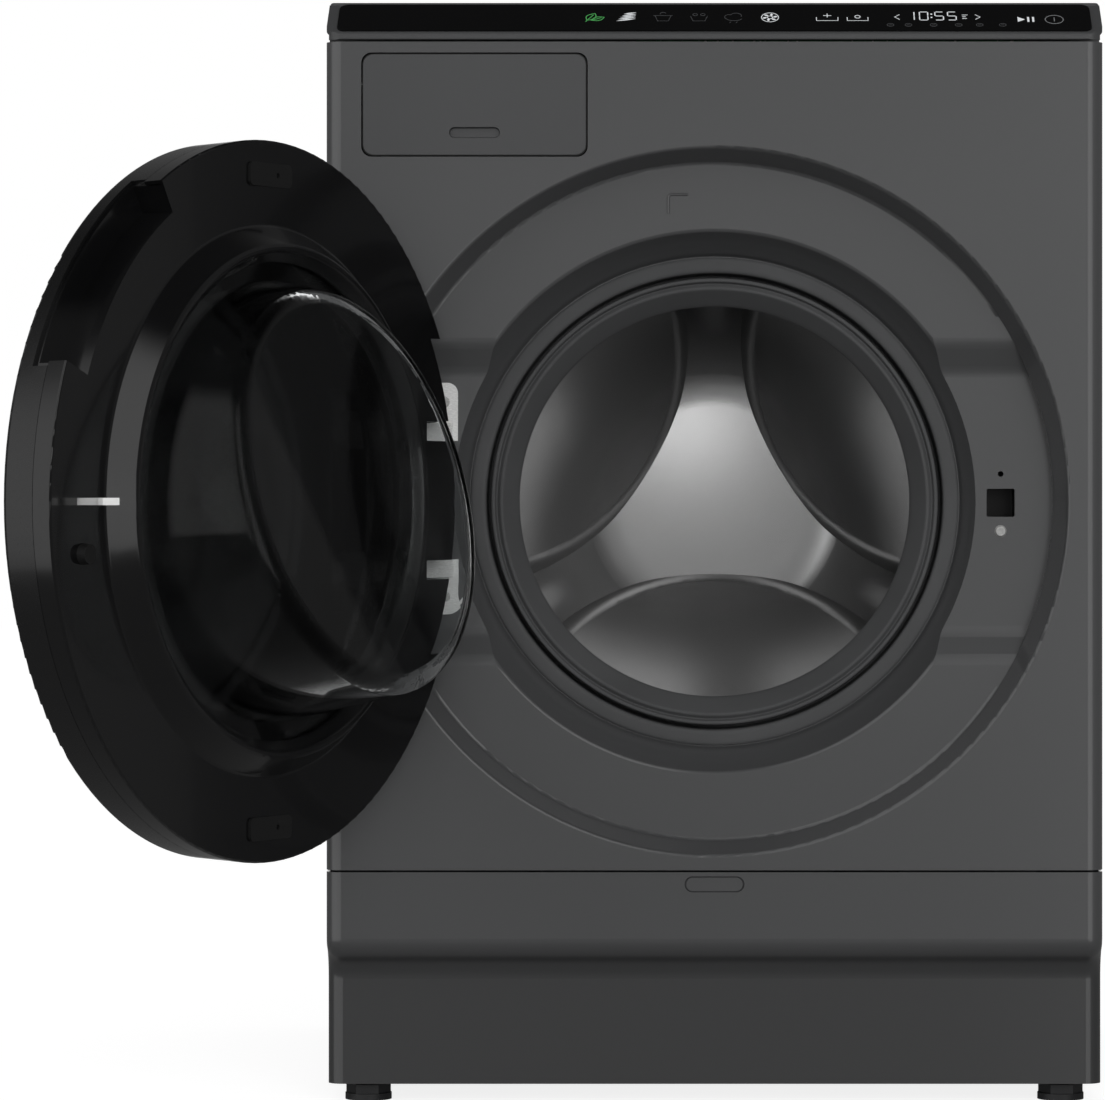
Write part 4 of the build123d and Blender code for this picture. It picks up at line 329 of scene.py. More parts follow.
def steel(name, colour, roughness, brush=(1, 1, 1)):
    """Bare metal: brush lines along one way, and slow changes of lustre."""
    material, bench = open_finish(name)
    lines = bench.noise(BRUSH_SCALE, 3.0, brush)
    cloud = bench.noise(9.0, 2.0)
    tone = bench.mix(lines * 0.6 + cloud * 0.4, shade(colour, 0.9), shade(colour, 1.08))
    return close_finish(material, bench, {
        "Base Color": tone,
        "Metallic": 1.0,
        "Roughness": roughness - 0.05 + lines * 0.06 + cloud * 0.05,
        "Normal": bench.bump(lines, 0.03, SKIN_DEPTH),
    })


def zinc(name, colour):
    """Zinc coated sheet with its spangle."""
    material, bench = open_finish(name)
    spangle = bench.cells(SPANGLE_SCALE, "Color")
    value = bench.make("ShaderNodeSeparateColor", {}, {"Color": spangle}, 0)
    tone = bench.mix(value, shade(colour, 0.9), shade(colour, 1.08))
    return close_finish(material, bench, {
        "Base Color": tone,
        "Metallic": 0.55,
        "Roughness": 0.42 + value * 0.12,
    })


def drum_sheet(name, colour, roughness):
    """Polished stainless sheet, rolled round the drum's axis."""
    material, bench = open_finish(name)
    rolled = bench.noise(60.0, 3.0, (1.0, 9.0, 1.0))
    cloud = bench.noise(6.0, 2.0)
    tone = bench.mix(rolled * 0.3 + cloud * 0.7, shade(colour, 0.96), shade(colour, 1.04))
    return close_finish(material, bench, {
        "Base Color": tone,
        "Metallic": DRUM_METAL,
        "Roughness": roughness + cloud * 0.02,
    })


def pierced_sheet(name, colour, roughness):
    """The drum's wall: stainless sheet with staggered rows of holes, painted near black as the
    shade in them.
    """
    material, bench = open_finish(name)
    across = bench.make("ShaderNodeSeparateXYZ", {}, {0: bench.place()}, 0)
    row = across.other(1) * (1 / HOLE_PITCH)
    around = across.maths("ARCTAN2", across.other(2) - AXIS_Z, across) * HOLES_PER_RADIAN
    around = around + row.maths("FLOOR", row) * 0.5
    u = around.maths("FRACT", around) - 0.5
    v = row.maths("FRACT", row) - 0.5
    # Where the holes are painted near black, as painted shade
    painted_hole = (u * u + v * v) < HOLE_SHARE
    cloud = bench.noise(6.0, 2.0)
    tone = bench.mix(cloud, shade(colour, 0.95), shade(colour, 1.05))
    return close_finish(material, bench, {
        "Base Color": bench.mix(painted_hole, tone, HOLE_PAINTED_SHADE),
        "Metallic": 1 - painted_hole,
        "Roughness": roughness + cloud * 0.02 + painted_hole * 0.4,
    })


def cast_alloy(name, colour, roughness):
    """Cast alloy: sandy skin with darker pits."""
    material, bench = open_finish(name)
    sand = bench.noise(240.0, 4.0)
    pits = bench.cells(95.0)
    tone = bench.mix(sand, shade(colour, 0.8), shade(colour, 1.15))
    return close_finish(material, bench, {
        "Base Color": tone,
        "Metallic": 0.85,
        "Roughness": roughness + sand * 0.12,
        "Normal": bench.bump(sand + pits * 0.4, 0.25, SAND_DEPTH),
    })


def concrete(name, colour):
    """Cast concrete: cement skin, sand grains and air pores."""
    material, bench = open_finish(name)
    skin = bench.noise(18.0, 5.0)
    grain = bench.cells(260.0)
    pores = bench.cells(60.0).step(0.08, 0.16)
    tone = bench.mix(skin * 0.7 + grain * 0.3, shade(colour, 0.75), shade(colour, 1.2))
    return close_finish(material, bench, {
        "Base Color": tone,
        "Roughness": 0.82 + skin * 0.12,
        "Normal": bench.bump(pores + grain * 0.3, 0.5, PORE_DEPTH),
    })


def circuit(name, colour):
    """Circuit board: lacquer with copper tracks under it and tinned pads."""
    material, bench = open_finish(name)
    tracks = bench.make("ShaderNodeTexBrick", {"offset": 0.35, "squash": 1.4}, {
        "Vector": bench.place((1.0, 1.0, 0.0)), "Scale": 70.0, "Mortar Size": 0.03,
    }, "Fac")
    pads = bench.cells(240.0) < 0.22
    lacquer = bench.mix(tracks, shade(colour, 1.0), shade(colour, 1.7))
    return close_finish(material, bench, {
        "Base Color": bench.mix(pads, lacquer, TINNED),
        "Metallic": pads * 0.9,
        "Roughness": 0.42 - pads * 0.12,
    })


def clear_glass(name):
    """Pressed door glass: clear, with the faint waves that pressing leaves."""
    material, bench = open_finish(name)
    waves = bench.noise(9.0, 2.0)
    return close_finish(material, bench, {
        "Base Color": bench.mix(waves, GLASS_DEEP, GLASS_PALE),
        "Roughness": 0.004 + waves * 0.008,
        "IOR": GLASS_BEND,
        "Specular Tint": GLASS_SHINE,
        "Transmission Weight": 1.0,
        "Normal": bench.bump(waves, 0.02, WAVE_DEPTH),
    })


def lit_mark(name, colour, glow):
    """A mark that shines through the control glass, a little uneven as its lamp is."""
    material, bench = open_finish(name)
    spill = bench.noise(160.0, 1.0)
    tone = bench.mix(spill, shade(colour, 0.85), shade(colour, 1.1))
    return close_finish(material, bench, {
        "Base Color": tone,
        "Roughness": 0.35 + spill * 0.1,
        "Emission Color": tone,
        "Emission Strength": glow,
    })


GREY = (0.075, 0.076, 0.078)
STAINLESS = (0.52, 0.52, 0.52)
FINISHES = {
    "panel_paint": painted("graphite_paint", GREY, 0.40),
    "side_paint": painted("graphite_side_paint", (0.072, 0.073, 0.075), 0.42),
    "fascia_plastic": moulded("graphite_fascia", (0.067, 0.068, 0.070), 0.40, 0.05),
    "drawer_plastic": moulded("graphite_drawer", (0.069, 0.070, 0.072), 0.40, 0.05),
    "plinth_plastic": stepped_plinth("graphite_plinth", (0.070, 0.071, 0.073), 0.42),
    "worktop": moulded("worktop_laminate", (0.07, 0.071, 0.073), 0.48, 0.15, 500.0),
    "touch_glass": gloss_black("touch_glass_black", (0.0022, 0.0022, 0.0024), 0.06),
    "circuit_board": circuit("board_lacquer", (0.01, 0.05, 0.02)),
    "zinc_sheet": zinc("zinc_spangle", (0.5, 0.51, 0.52)),
    "base_plastic": moulded("base_moulding", (0.03, 0.03, 0.032), 0.55),
    "foot_plastic": moulded("foot_moulding", (0.012, 0.012, 0.013), 0.5),
    "tray_plastic": moulded("tray_moulding", (0.5, 0.51, 0.52), 0.35, 0.04),
    # A black moulding, darkened further so that the drawer's gap shows as painted shade
    "housing_plastic": moulded("housing_moulding_and_gap_shade", (0.006, 0.006, 0.006), 0.55),
    "door_black": gloss_black("door_black_gloss", (0.0045, 0.0045, 0.0048), 0.12),
    "door_edge": gloss_black("door_edge_black", (0.006, 0.006, 0.0063), 0.2),
    "door_smoke": domed_black("door_cover_smoke", (0.004, 0.004, 0.0045), 0.08),
    "clear_glass": clear_glass("door_glass_clear"),
    "buffer_rubber": rubber("buffer_black", (0.008, 0.008, 0.008), 0.55),
    "seal_rubber": rubber("seal_grey", (0.078, 0.079, 0.081)),
    "hinge_metal": plated("hinge_plate_zinc", (0.86, 0.86, 0.85), 0.22),
    "leaf_metal": steel("hinge_leaf_steel", (0.45, 0.45, 0.45), 0.35),
    "hook_metal": plated("hook_zinc", (0.9, 0.9, 0.89), 0.25),
    "lock_plastic": moulded("lock_moulding", (0.002, 0.002, 0.002), 0.5),
    "screw_metal": plated("screw_bright", (0.5, 0.5, 0.49), 0.22),
    "plug_plastic": moulded("plug_moulding", (0.05, 0.05, 0.052), 0.5),
    "drum_steel": drum_sheet("drum_stainless", STAINLESS, 0.12),
    "lifter_plastic": moulded("lifter_moulding", (0.3, 0.3, 0.31), 0.35),
    "spider_alloy": cast_alloy("spider_cast", (0.5, 0.5, 0.51), 0.45),
    "shaft_steel": steel("shaft_ground", (0.55, 0.55, 0.55), 0.25, (1, 14, 1)),
    "oil_seal": rubber("oil_seal_brown", (0.06, 0.02, 0.012)),
    "tub_plastic": moulded("tub_milky", (0.42, 0.43, 0.44), 0.5, 0.12, 400.0),
    "bolt_steel": zinc("bolt_zinc", (0.55, 0.54, 0.48)),
    "concrete": concrete("ballast_concrete", (0.33, 0.32, 0.3)),
    "heater_steel": steel("heater_sheath", (0.4, 0.4, 0.4), 0.35, (1, 10, 1)),
    "motor_alloy": cast_alloy("motor_case_cast", (0.35, 0.35, 0.36), 0.5),
    "motor_steel": steel("motor_shaft_steel", (0.5, 0.5, 0.5), 0.3, (1, 12, 1)),
    "belt_rubber": rubber("belt_black", (0.012, 0.012, 0.012)),
    "spring_steel": steel("spring_wire", (0.3, 0.3, 0.31), 0.3, (1, 1, 20)),
    "damper_plastic": moulded("damper_moulding", (0.3, 0.3, 0.3), 0.4),
    "rod_steel": steel("damper_rod", (0.6, 0.6, 0.6), 0.2, (12, 12, 1)),
    "hose_rubber": rubber("hose_black", (0.014, 0.014, 0.014)),
    "drain_rubber": rubber("drain_grey", (0.16, 0.16, 0.165)),
    "pump_plastic": moulded("pump_moulding", (0.4, 0.41, 0.42), 0.45),
    "cap_plastic": moulded("cap_moulding", (0.03, 0.03, 0.032), 0.4),
    "outlet_plastic": moulded("outlet_moulding", (0.05, 0.05, 0.052), 0.45),
    "valve_plastic": moulded("valve_moulding", (0.55, 0.55, 0.53), 0.4),
}
for piece in frame["record"]["subparts"]:
    solid = frame["nodes"][piece["node"]]
    solid.data.materials.clear()
    solid.data.materials.append(FINISHES[piece["material_slot"]])
drum_wall = frame["nodes"]["drum_shell"].data.materials
drum_wall[0] = pierced_sheet("drum_pierced", STAINLESS, 0.3)


# ---------------------------------------------------------------- mesh making
# How often an outline's corners are cut, and how far along each side
CORNER_ROUNDS = 2
CORNER_CUT = 0.2


def keep(piece, finish, body=None):
    """Link a piece into the scene with its finish and slot, riding on a body."""
    bpy.context.scene.collection.objects.link(piece)
    piece.data.materials.append(finish)
    if body:
        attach(piece, body)


def between(here, there, share):
    """A point part of the way from one point to another."""
    return [a * (1 - share) + b * share for a, b in zip(here, there)]


def rounded(profile):
    """Cut the corners of a closed outline, so that it reads as moulded rubber."""
    for _ in range(CORNER_ROUNDS):
        cut = []
        for here, there in zip(profile, profile[1:] + profile[:1]):
            cut.append(between(here, there, CORNER_CUT))
            cut.append(between(here, there, 1 - CORNER_CUT))
        profile = cut
    return profile


def join_rows(work, rows):
    """Smooth faces from each loop of points to the next."""
    for row, after in zip(rows, rows[1:]):
        for a, b, c, d in zip(row, row[1:] + row[:1], after[1:] + after[:1], after):
            work.faces.new((a, b, c, d)).smooth = True


def finished(name, work):
    """The object of a mesh, with its faces turned outwards."""
    bmesh.ops.recalc_face_normals(work, faces=work.faces)
    mesh = bpy.data.meshes.new(name)
    work.to_mesh(mesh)
    work.free()
    return bpy.data.objects.new(name, mesh)


def turned(name, profile, origin, along, steps):
    """A turned ring: an outline of radius and distance along an axis, swept once round it."""
    along = Vector(along)
    across = Vector((1, 0, 0))
    over = along.cross(across)
    work = bmesh.new()
    rows = []
    for i in range(steps):
        angle = 2 * pi * i / steps
        out = across * cos(angle) + over * sin(angle)
        rows.append([
            work.verts.new(Vector(origin) + out * (r * MM) + along * (d * MM))
            for r, d in profile
        ])
    join_rows(work, rows + rows[:1])
    return finished(name, work)


def lay_spline(curve, points, closed):
    """Add a line of straight steps through points to a curve."""
    spline = curve.splines.new("POLY")
    spline.points.add(len(points) - 1)
    for point, place in zip(spline.points, points):
        point.co = (*place, 1)
    spline.use_cyclic_u = closed


def traced(name, strokes, radius, roundness=2):
    """An object of round wire along lines of points, each line open or closed."""
    wire = bpy.data.curves.new(name, "CURVE")
    wire.dimensions = "3D"
    wire.bevel_depth = radius
    wire.bevel_resolution = roundness
    wire.use_fill_caps = True
    for points, closed in strokes:
        lay_spline(wire, points, closed)
    return bpy.data.objects.new(name, wire)


# ---------------------------------------------------------------- door seal
# Radii, depths behind the cabinet's front, and thicknesses, in millimetres
LIP_RADIUS = 181.2
LIP_DEPTH = 56.0
LIP_REACH = 9.0
LIP_BEVEL = 2.0
SEAT_GAP = 0.3
WEB_GAP = 0.4
SEAL_EDGE = 1.0
SEAL_WALL = 3.2
GROOVE = 2.0
FOLD_DEPTH = 78.0
BELLOWS_RADIUS = 196.0
MOUTH_RADIUS = 152.4
MOUTH_DEPTH = 70.0
BEAD_START = 101.0
BEAD_END = 114.0
SEAL_STEPS = 192
seal_front = LIP_DEPTH - SEAL_WALL
seal_web = LIP_RADIUS - WEB_GAP
fold_outer = seal_web - SEAL_WALL
fold_inner = fold_outer - SEAL_WALL
seal_face = fold_inner - SEAL_WALL
bellows_mid = (FOLD_DEPTH + BEAD_START) / 2
bead_inner = fold_inner + SEAL_WALL / 2
seal_outline = [
    (LIP_RADIUS + LIP_REACH, LIP_DEPTH - SEAT_GAP),
    (LIP_RADIUS + LIP_REACH, seal_front + SEAL_EDGE),
    (LIP_RADIUS + LIP_REACH - LIP_BEVEL, seal_front),
    (fold_outer + GROOVE, seal_front),
    (fold_outer, seal_front + GROOVE),
    (fold_outer, FOLD_DEPTH),
    (fold_inner, FOLD_DEPTH),
    (fold_inner, seal_front + GROOVE),
    (fold_inner - SEAL_EDGE, seal_front + SEAL_EDGE),
    (seal_face, seal_front + SEAL_EDGE),
    (seal_face - SEAL_EDGE, seal_front + 2 * GROOVE),
    (seal_face - GROOVE, seal_front + 2 * GROOVE),
    (seal_face - 2 * GROOVE, seal_front + GROOVE),
    (seal_face - 3 * GROOVE, seal_front + GROOVE),
    (seal_face - 4 * GROOVE, seal_front + 2 * GROOVE),
    (MOUTH_RADIUS, MOUTH_DEPTH - GROOVE),
    (MOUTH_RADIUS, MOUTH_DEPTH),
    (MOUTH_RADIUS + GROOVE, MOUTH_DEPTH + SEAL_EDGE),
    (seal_face, LIP_DEPTH + 2 * SEAL_WALL),
    (seal_face, FOLD_DEPTH + SEAL_WALL),
    (fold_outer, FOLD_DEPTH + SEAL_WALL),
    (BELLOWS_RADIUS - SEAL_WALL, bellows_mid),
    (bead_inner, BEAD_START),
    (bead_inner, BEAD_END),
    (bead_inner + SEAL_WALL, BEAD_END),
    (bead_inner + SEAL_WALL, BEAD_START + SEAL_WALL / 2),
    (BELLOWS_RADIUS, bellows_mid),
    (seal_web, FOLD_DEPTH - SEAL_WALL / 2),
    (seal_web, LIP_DEPTH - SEAT_GAP),
]
door_seal = turned(
    "door_seal", rounded(seal_outline), (0, FRONT_Y, AXIS_Z), (0, 1, 0), SEAL_STEPS,
)
keep(door_seal, FINISHES["seal_rubber"])
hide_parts("door_gasket")
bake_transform(door_seal)

# ---------------------------------------------------------------- control marks
# The touch glass: its middle in metres, its way up the slope and its way out
PANEL_CENTRE = Vector((0, -0.26675, 0.8375))
PANEL_UP = Vector((0, 0.8423, 0.5390))
PANEL_OUT = Vector((0, -0.5390, 0.8423))
# How far marks stand out, how thick solid ones are and how wide lines are, in millimetres
MARK_RISE = 1.0
MARK_DEEP = 0.15
LINE_WIDTH = 0.7
LEAF_WIDTH = 0.8
DIM_WIDTH = 0.55
# How far a line's round section is pressed flat
LINE_FLAT = 0.5
# Steps in an arc and along a leaf, and where a closed oval's last step starts, in degrees
ARC_STEPS = 20
LEAF_STEPS = 12
OVAL_END = 342
panel_grid = Matrix.Translation(PANEL_CENTRE + PANEL_OUT * MARK_RISE * MM) @ Matrix((
    (1, PANEL_UP.x, PANEL_OUT.x, 0),
    (0, PANEL_UP.y, PANEL_OUT.y, 0),
    (0, PANEL_UP.z, PANEL_OUT.z, 0),
    (0, 0, 0, 1),
))
WHITE_MARK = lit_mark("mark_white", (0.72, 0.74, 0.76), 0.35)
GREY_MARK = lit_mark("mark_grey", (0.2, 0.205, 0.21), 0.25)
DIM_MARK = lit_mark("mark_dim", (0.06, 0.062, 0.065), 0.2)
GREEN_MARK = lit_mark("mark_green", (0.06, 0.32, 0.08), 0.4)


def on_glass(points):
    """Points in millimetres across and up the slope, as metres on the control glass."""
    return [(x * MM, s * MM, 0) for x, s in points]


def drawn(name, strokes, finish, width=LINE_WIDTH):
    """Lines on the control glass, from points in millimetres."""
    lines = [(on_glass(points), closed) for points, closed in strokes]
    piece = traced(name, lines, width / 2 * MM)
    piece.matrix_world = panel_grid @ Matrix.Diagonal((1, 1, LINE_FLAT, 1))
    keep(piece, finish, "cabinet")


def filled(name, shapes, finish):
    """Solid marks on the control glass, from closed outlines in millimetres."""
    area = bpy.data.curves.new(name, "CURVE")
    area.dimensions = "2D"
    area.fill_mode = "BOTH"
    area.extrude = MARK_DEEP * MM
    for points in shapes:
        lay_spline(area, on_glass(points), True)
    piece = bpy.data.objects.new(name, area)
    piece.matrix_world = panel_grid
    keep(piece, finish, "cabinet")


def arc(x, s, rx, rs, start, end):
    """Points along an ellipse's arc, in degrees from the right."""
    turn = [radians(start + (end - start) * i / ARC_STEPS) for i in range(ARC_STEPS + 1)]
    return [(x + rx * cos(a), s + rs * sin(a)) for a in turn]


def oval(x, s, rx, rs):
    """A closed line round an ellipse."""
    return arc(x, s, rx, rs, 0, OVAL_END), True


def leaf(x, s, length, width, lean):
    """Outline of a pointed leaf that leans by an angle."""
    along = [i / LEAF_STEPS for i in range(LEAF_STEPS + 1)]
    side = [(length * share, width * sin(pi * share)) for share in along]
    outline = side + [(a, -b) for a, b in side[-2:0:-1]]
    c, d = cos(radians(lean)), sin(radians(lean))
    return [(x + a * c - b * d, s + a * d + b * c) for a, b in outline]


# The time's digits: which segments each lights, and their sizes
SEGMENTS = {"1": "bc", "0": "abcdef", "5": "afgcd"}
DIGIT_WIDE = 6.4
DIGIT_TALL = 13.6
DIGIT_FOOT = -4.6
SEGMENT = 0.9
SEGMENT_GAP = 0.3
COLON_LEFT = 167.1
COLON_RIGHT = 168.5
COLON_TALL = 1.5


def segment_shapes(digit, x, s):
    """Lit segments of a digit whose lower left corner lies at x, s."""
    half = SEGMENT / 2
    gap = SEGMENT_GAP
    tip = gap + half
    middle = s + DIGIT_TALL / 2
    top = s + DIGIT_TALL
    right = x + DIGIT_WIDE
    ends = {
        "a": ((x, top), (right, top)),
        "b": ((right, middle), (right, top)),
        "c": ((right, s), (right, middle)),
        "d": ((x, s), (right, s)),
        "e": ((x, s), (x, middle)),
        "f": ((x, middle), (x, top)),
        "g": ((x, middle), (right, middle)),
    }
    shapes = []
    for key in SEGMENTS[digit]:
        (x0, s0), (x1, s1) = ends[key]
        if s0 == s1:
            shapes.append([
                (x0 + gap, s0), (x0 + tip, s0 + half), (x1 - tip, s0 + half),
                (x1 - gap, s0), (x1 - tip, s0 - half), (x0 + tip, s0 - half),
            ])
        else:
            shapes.append([
                (x0, s0 + gap), (x0 + half, s0 + tip), (x0 + half, s1 - tip),
                (x0, s1 - gap), (x0 - half, s1 - tip), (x0 - half, s0 + tip),
            ])
    return shapes


digits = []
for digit, x in (("1", 148.0), ("0", 158.6), ("5", 170.6), ("5", 180.4)):
    digits += segment_shapes(digit, x, DIGIT_FOOT)
for s in (-1.0, 4.6):
    top = s + COLON_TALL
    digits.append([(COLON_LEFT, s), (COLON_RIGHT, s), (COLON_RIGHT, top), (COLON_LEFT, top)])
filled("time_digits", digits, WHITE_MARK)

FAN_X = 42.9
BLADE_LEAN = 28
drawn("white_lines", [
    # Arrows on both sides of the time
    ([(143.0, 4.5), (139.2, 0.5), (143.0, -3.5)], False),
    ([(201.6, 4.5), (205.4, 0.5), (201.6, -3.5)], False),
    # The fan's ring and hub
    oval(FAN_X, 0.0, 6.6, 7.6),
    oval(FAN_X, 0.0, 2.0, 2.3),
    # Two basins, with a ring and a cross over them
    ([(78.8, 0.0), (78.8, -5.5), (95.4, -5.5), (95.4, 0.0)], False),
    ([(102.6, 0.0), (102.6, -5.5), (118.6, -5.5), (118.6, 0.0)], False),
    oval(110.6, 1.0, 2.0, 2.4),
    ([(84.0, 3.0), (90.4, 3.0)], False),
    ([(87.2, 6.0), (87.2, 0.0)], False),
    # Short lines after the time
    ([(191.5, 4.0), (195.8, 4.0)], False),
    ([(191.5, 1.0), (194.4, 1.0)], False),
    ([(191.5, -2.0), (195.0, -2.0)], False),
], WHITE_MARK)
POWER_X = 262.5
drawn("power_sign", [
    oval(POWER_X, -3.6, 7.0, 7.0),
    ([(POWER_X, -0.4), (POWER_X, -6.8)], False),
], GREY_MARK)
blades = [
    leaf(FAN_X + 2.3 * cos(radians(a)), 2.6 * sin(radians(a)), 4.0, 1.1, a + BLADE_LEAN)
    for a in range(0, 360, 60)
]
filled("fan_blades", blades, WHITE_MARK)
stripes = [
    leaf(-75.6 + 1.4 * i, -6.0 + 2.9 * i, 15.0 - 1.3 * i, 0.85, 14) for i in range(5)
]
filled("feather_stripes", stripes, WHITE_MARK)
START_TOP = 0.4
START_MIDDLE = -3.6
START_FOOT = -7.6
start_signs = [[(234.2, START_TOP), (234.2, START_FOOT), (239.8, START_MIDDLE)]]
for left, right in ((241.6, 243.2), (245.4, 247.0)):
    start_signs.append([
        (left, START_TOP), (right, START_TOP), (right, START_FOOT), (left, START_FOOT),
    ])
filled("start_pause", start_signs, WHITE_MARK)
drawn("leaf_lines", [
    (leaf(-98.5, -5.0, 13.0, 3.6, 62), True),
    (leaf(-95.0, -5.0, 11.0, 3.0, 28), True),
    ([(-99.5, -7.4), (-98.5, -5.0), (-93.6, 4.2)], False),
    ([(-95.6, -5.2), (-87.6, -0.8)], False),
], GREEN_MARK, LEAF_WIDTH)
KEY_ROW = -12.7
dim_lines = [
    # A covered tub with a handle
    ([(-46.0, 3.0), (-44.0, -6.0), (-35.6, -6.0), (-33.6, 3.0)], False),
    ([(-47.2, 3.0), (-32.4, 3.0)], False),
    (arc(-39.8, 6.0, 2.2, 2.4, 200, 20), False),
    # An open tub with two rings over it
    ([(-18.5, 2.0), (-16.6, -6.0), (-7.4, -6.0), (-5.5, 2.0)], False),
    oval(-15.0, 4.6, 1.7, 1.9),
    oval(-9.0, 4.6, 1.7, 1.9),
    # A cloud with two strokes of rain
    (arc(15.1, -1.0, 6.4, 4.6, 200, 340), False),
    (arc(11.2, 0.6, 3.4, 4.0, 60, 230), False),
    (arc(16.6, 2.6, 4.2, 4.6, -20, 160), False),
    ([(12.6, -7.6), (11.6, -9.6)], False),
    ([(17.6, -7.6), (16.6, -9.6)], False),
]
for x in (135.7, 149.6, 169.0, 188.3, 204.5, 222.3):
    dim_lines.append(oval(x, KEY_ROW, 2.6, 2.4))
    dim_lines.append(([(x - 1.2, KEY_ROW), (x + 1.2, KEY_ROW)], False))
drawn("dim_lines", dim_lines, DIM_MARK, DIM_WIDTH)

# ---------------------------------------------------------------- corner mark in the recess
# Middle and radius of its bend, the ends of its arms, its depth and its wire, in metres
CORNER_X = -0.0327
CORNER_Z = 0.6985
CORNER_RADIUS = 0.0030
CORNER_FOOT = 0.6865
CORNER_END = -0.0205
CORNER_DEPTH = 0.0238
CORNER_WIRE = 0.0011
CORNER_ROUNDNESS = 3
corner_line = [(CORNER_X - CORNER_RADIUS, CORNER_FOOT)]
for a in range(180, 85, -15):
    x = CORNER_X + CORNER_RADIUS * cos(radians(a))
    corner_line.append((x, CORNER_Z + CORNER_RADIUS * sin(radians(a))))
corner_line.append((CORNER_END, CORNER_Z + CORNER_RADIUS))
corner_points = [(x, FRONT_Y + CORNER_DEPTH, z) for x, z in corner_line]
corner_mark = traced("corner_mark", [(corner_points, False)], CORNER_WIRE, CORNER_ROUNDNESS)
keep(corner_mark, FINISHES["panel_paint"], "cabinet")


# ---------------------------------------------------------------- springs and sump hose
# The coil's and the wire's radius and the coil's distance from the box's side, in metres
SPRING_RADIUS = 0.0105
SPRING_WIRE = 0.0015
SPRING_INSET = 0.012
SPRING_TURNS = 22
TURN_STEPS = 20
WIRE_SIDES = 8


def coil(name, x, y, low, high):
    """A close wound spring of round wire between two heights."""
    steps = SPRING_TURNS * TURN_STEPS
    section = [2 * pi * k / WIRE_SIDES for k in range(WIRE_SIDES)]
    climb = high - low - 2 * SPRING_WIRE
    work = bmesh.new()
    rows = []
    for i in range(steps + 1):
        angle = 2 * pi * SPRING_TURNS * i / steps
        out = Vector((cos(angle), sin(angle), 0))
        middle = Vector((x, y, low + SPRING_WIRE + climb * i / steps)) + out * SPRING_RADIUS
        rows.append([
            work.verts.new(middle + (out * cos(turn) + Vector((0, 0, sin(turn)))) * SPRING_WIRE)
            for turn in section
        ])
    join_rows(work, rows)
    work.faces.new(rows[0])
    work.faces.new(rows[-1])
    return finished(name, work)


spring_low, spring_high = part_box("suspension_springs")
spring_y = (spring_low.y + spring_high.y) / 2
spring_x = spring_high.x - SPRING_INSET
for side, name in ((-1, "spring_left"), (1, "spring_right")):
    spring = coil(name, side * spring_x, spring_y, spring_low.z, spring_high.z)
    keep(spring, FINISHES["spring_steel"])
    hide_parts("suspension_springs")
    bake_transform(spring)

# The sump hose's wall and ribs in millimetres, and its ribs' places as shares of its height
HOSE_WALL = 2.5
RIB_HEIGHT = 4.0
RIB_HALF = 4.0
RIBS = 5
RIB_SPACES = 7
FIRST_RIB = 1.5
RIB_LIFT = 0.02
HOSE_STEPS = 48
hose_low, hose_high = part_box("sump_hose")
hose_middle = (hose_low + hose_high) / 2
hose_tall = (hose_high.z - hose_low.z) / MM
rib_out = (hose_high.x - hose_low.x) / 2 / MM
hose_out = rib_out - RIB_HEIGHT
hose_in = hose_out - HOSE_WALL
hose_outline = [(hose_in, hose_tall), (hose_in, 0.0), (hose_out, 0.0)]
for rib in range(RIBS):
    middle = hose_tall * ((rib + FIRST_RIB) / RIB_SPACES + RIB_LIFT)
    hose_outline += [
        (hose_out, middle - RIB_HALF), (rib_out, middle), (hose_out, middle + RIB_HALF),
    ]
hose_outline.append((hose_out, hose_tall))
ribbed_hose = turned(
    "ribbed_sump_hose", rounded(hose_outline),
    (hose_middle.x, hose_middle.y, hose_low.z), (0, 0, 1), HOSE_STEPS,
)
keep(ribbed_hose, FINISHES["hose_rubber"])
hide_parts("sump_hose")
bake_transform(ribbed_hose)

# ---------------------------------------------------------------- painted shade: dark wire in the seam round the kick panel's grip
# Half its straight length, its end radius, its height, its depth and its wire, in metres
GRIP_HALF = 0.0165
GRIP_RADIUS = 0.0058
GRIP_Z = 0.1697
GRIP_DEPTH = 0.0012
GRIP_WIRE = 0.0006
grip_points = []
for side in (1, -1):
    for a in range(-90, 91, 10):
        x = side * (GRIP_HALF + GRIP_RADIUS * cos(radians(a)))
        z = GRIP_Z + side * GRIP_RADIUS * sin(radians(a))
        grip_points.append((x, FRONT_Y + GRIP_DEPTH, z))
# A thin dark wire lying in the seam: painted shade of the gap round the grip
grip_gap_shade = traced("grip_gap_shade", [(grip_points, True)], GRIP_WIRE)
keep(grip_gap_shade, FINISHES["base_plastic"], "plinth")

# ---------------------------------------------------------------- floor, light and camera
WHITE = (1, 1, 1, 1)
FLOOR_REACH = 14.0
FLOOR_CELLS = 8
FLOOR_DULL = (0.22, 0.22, 0.22, 1)
FLOOR_CHALK = (0.42, 0.42, 0.42, 1)
FLOOR_GLOW = 0.84
# Levels of the world's light
EVEN_LIGHT = 0.4
BACK_LIGHT = 0.9
STUDIO_LIGHT = 0.025
STUDIO_LOWER = 0.11
RIGHT_LIGHT = 1.1
LEFT_LIGHT = 0.85
# Where the white back starts and is full, for glass and for gloss, and the studio's dark top
GLASS_BACK = (0.55, 0.75)
GLOSS_BACK = (0.97, 0.995)
STUDIO_TOP = (0.5, 0.85)
# Where the pale walls start, are full, fade and end: in radians from the front, and in height
RIGHT_WALL = (0.07, 0.12, 0.60, 0.75)
LEFT_WALL = (0.20, 0.24, 1.30, 1.45)
WALL_RISE = (-0.30, -0.26, 0.72, 0.86)


